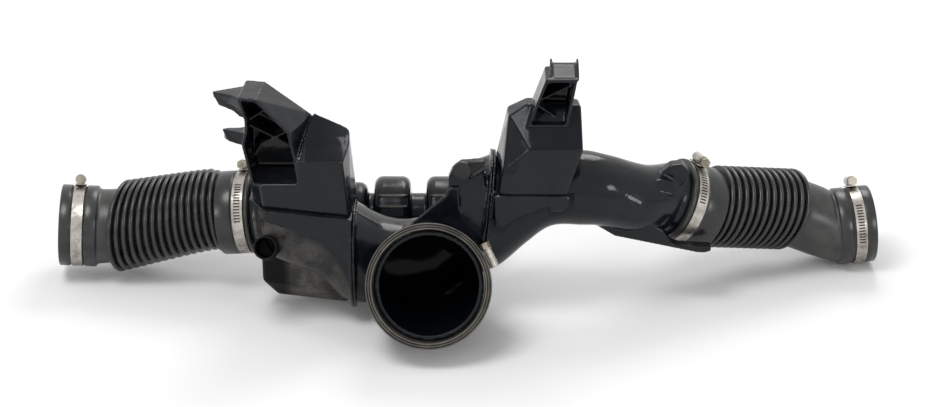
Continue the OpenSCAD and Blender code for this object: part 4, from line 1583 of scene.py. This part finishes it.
def hoses() -> list[BellowsHose]:
    """Gives the two hoses their sizes.

    Returns:
        The left and the right hose.
    """
    return [
        BellowsHose(
            node="left_hose", body=LEFT_BODY, body_way=LEFT_BODY_WAY,
            start=((-173.6, 143.6, -2.6), (-0.986, 0.11, -0.125), 33.4),
            end=((-253.8, 153.5, -21.1), (-0.967, 0.254, -0.007), 38.4),
            crests=15, mouth=(-306.4, 151.9, -19.6), mouth_way=(-0.996, -0.05, 0.07),
            inlet_radius=30, neck_radius=30.5, lift=2,
        ),
        BellowsHose(
            node="right_hose", body=RIGHT_BODY, body_way=RIGHT_BODY_WAY,
            start=((230.5, 143.4, 1.2), (0.889, 0.3, -0.35), 34.3),
            end=((293.7, 169.2, -13.3), (0.84, 0.363, -0.404), 34.6),
            crests=12, mouth=(367.5, 176.4, -29.7), mouth_way=(0.994, 0.089, 0.068),
            inlet_radius=28.5, neck_radius=28.6,
        ),
    ]


@dataclass
class WormClamps:
    """The five worm-drive clamps and the bush: solids of the frame with their own finishes."""

    clamps: tuple[str, ...] = ("outlet", "left_body", "left_inlet", "right_body", "right_inlet")
    bush: str = "mounting_bush"

    def build(self, dresser: Dresser) -> None:
        """Dresses each band, housing and screw, and the bush.

        Args:
            dresser: holds the solids and paints them.
        """
        for clamp in self.clamps:
            dresser.paint(dresser.nodes[clamp + "_band"], Slot.CLAMP)
            dresser.paint(dresser.nodes[clamp + "_housing"], Slot.CLAMP)
            dresser.paint(dresser.nodes[clamp + "_screw"], Slot.SCREW)
        dresser.paint(dresser.nodes[self.bush], Slot.BUSH)


@dataclass
class Studio:
    """Pale floor, soft lights and the camera that looks down on the duct."""

    floor_height: float = -64.0
    floor_reach: float = 6000.0
    floor_colour: str = "#f7f7f7"
    sky_level: float = 0.55
    floor_thickness: float = 20.0
    camera_place: Point = (30.4, -1695.0, 860.9)
    camera_tilt: float = 25.0
    sensor_width: float = 36.0
    # Width that the photograph covers at this distance
    frame_width: float = 720.7
    distance: float = 1900.0
    lamp_aim: Point = (30, 80, 0)
    # Name, place, side in millimetres and watts of each lamp
    lamps: tuple[tuple[str, Point, float, float], ...] = (
        ("key_lamp", (-500, -500, 1600), 700, 13),
        ("back_lamp", (300, 1100, 1100), 700, 8),
        ("right_lamp", (1300, -1300, 700), 450, 6),
        ("left_lamp", (-1500, -900, 500), 400, 4),
    )

    def floor(self) -> None:
        """Lays the floor."""
        skin = Skin()
        reach = self.floor_reach
        corners = ((-reach, -reach), (reach, -reach), (reach, reach), (-reach, reach))
        skin.slab(corners, Plane.TOP, self.floor_height - self.floor_thickness, self.floor_height)
        piece = skin.build("studio_floor")
        piece.data.polygons.foreach_set("use_smooth", np.zeros(len(piece.data.polygons), dtype=bool))
        material = new_material("white_paper")
        look = {"Base Color": linear(self.floor_colour), "Roughness": 0.9}
        shader = add_node(material.node_tree, "BsdfPrincipled", look)
        add_node(material.node_tree, "OutputMaterial", {"Surface": shader})
        piece.data.materials.append(material)

    def sky(self) -> None:
        """Lights the world softly, and shows it white to the camera, to gloss and through glass."""
        world = bpy.data.worlds.new("white_studio")
        bpy.context.scene.world = world
        world.use_nodes = True
        tree = world.node_tree
        tree.nodes.clear()
        rays = add_node(tree, "LightPath").outputs
        seen = add_node(tree, "Math", (rays["Is Camera Ray"], rays["Is Glossy Ray"]), operation="MAXIMUM")
        shown = add_node(tree, "Math", (seen, rays["Is Transmission Ray"]), operation="MAXIMUM")
        soft = add_node(tree, "Background", {"Color": (1, 1, 1, 1), "Strength": self.sky_level})
        white = add_node(tree, "Background", {"Color": (1, 1, 1, 1), "Strength": 1.0})
        add_node(tree, "OutputWorld", {"Surface": add_node(tree, "MixShader", (shown, soft, white))})

    def lamp(self, name: str, place: Point, size: float, power: float) -> None:
        """Hangs one square soft lamp that faces the duct.

        Args:
            name: the lamp's name.
            place: where it hangs, in millimetres.
            size: length of its side in millimetres.
            power: watts.
        """
        light = bpy.data.lights.new(name, "AREA")
        light.shape = "SQUARE"
        light.size = size * MM
        light.energy = power
        made = bpy.data.objects.new(name, light)
        bpy.context.scene.collection.objects.link(made)
        way = Vector(self.lamp_aim) - Vector(place)
        made.rotation_euler = way.to_track_quat("-Z", "Y").to_euler()
        made.location = Vector(place) * MM

    def camera(self) -> None:
        """Sets the camera 1.9 m away, tilted 25 degrees down, with the photograph's field of view."""
        data = bpy.data.cameras.new("studio_camera")
        data.sensor_width = self.sensor_width
        data.lens = self.sensor_width * self.distance / self.frame_width
        data.clip_end = 50
        made = bpy.data.objects.new("studio_camera", data)
        made.location = [v * MM for v in self.camera_place]
        made.rotation_euler = (math.radians(90 - self.camera_tilt), 0, 0)
        bpy.context.scene.collection.objects.link(made)
        bpy.context.scene.camera = made

    def build(self) -> None:
        """Builds the floor, the light and the camera."""
        self.floor()
        self.sky()
        for lamp in self.lamps:
            self.lamp(*lamp)
        self.camera()
        bpy.context.scene.view_settings.view_transform = "Standard"


def main() -> None:
    """Builds the duct piece by piece, then the studio round it."""
    logging.basicConfig(level=logging.INFO, format="%(name)s: %(message)s")
    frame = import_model()
    dresser = Dresser(frame)
    for part in (
        LeftDuct(),
        CentreDuct(),
        RightDuct(),
        MouldedBoxes(),
        CrossoverTube(),
        OutletSleeve(),
        *hoses(),
        WormClamps(),
    ):
        part.build(dresser)
    Studio().build()


if __name__ == "__main__":
    main()
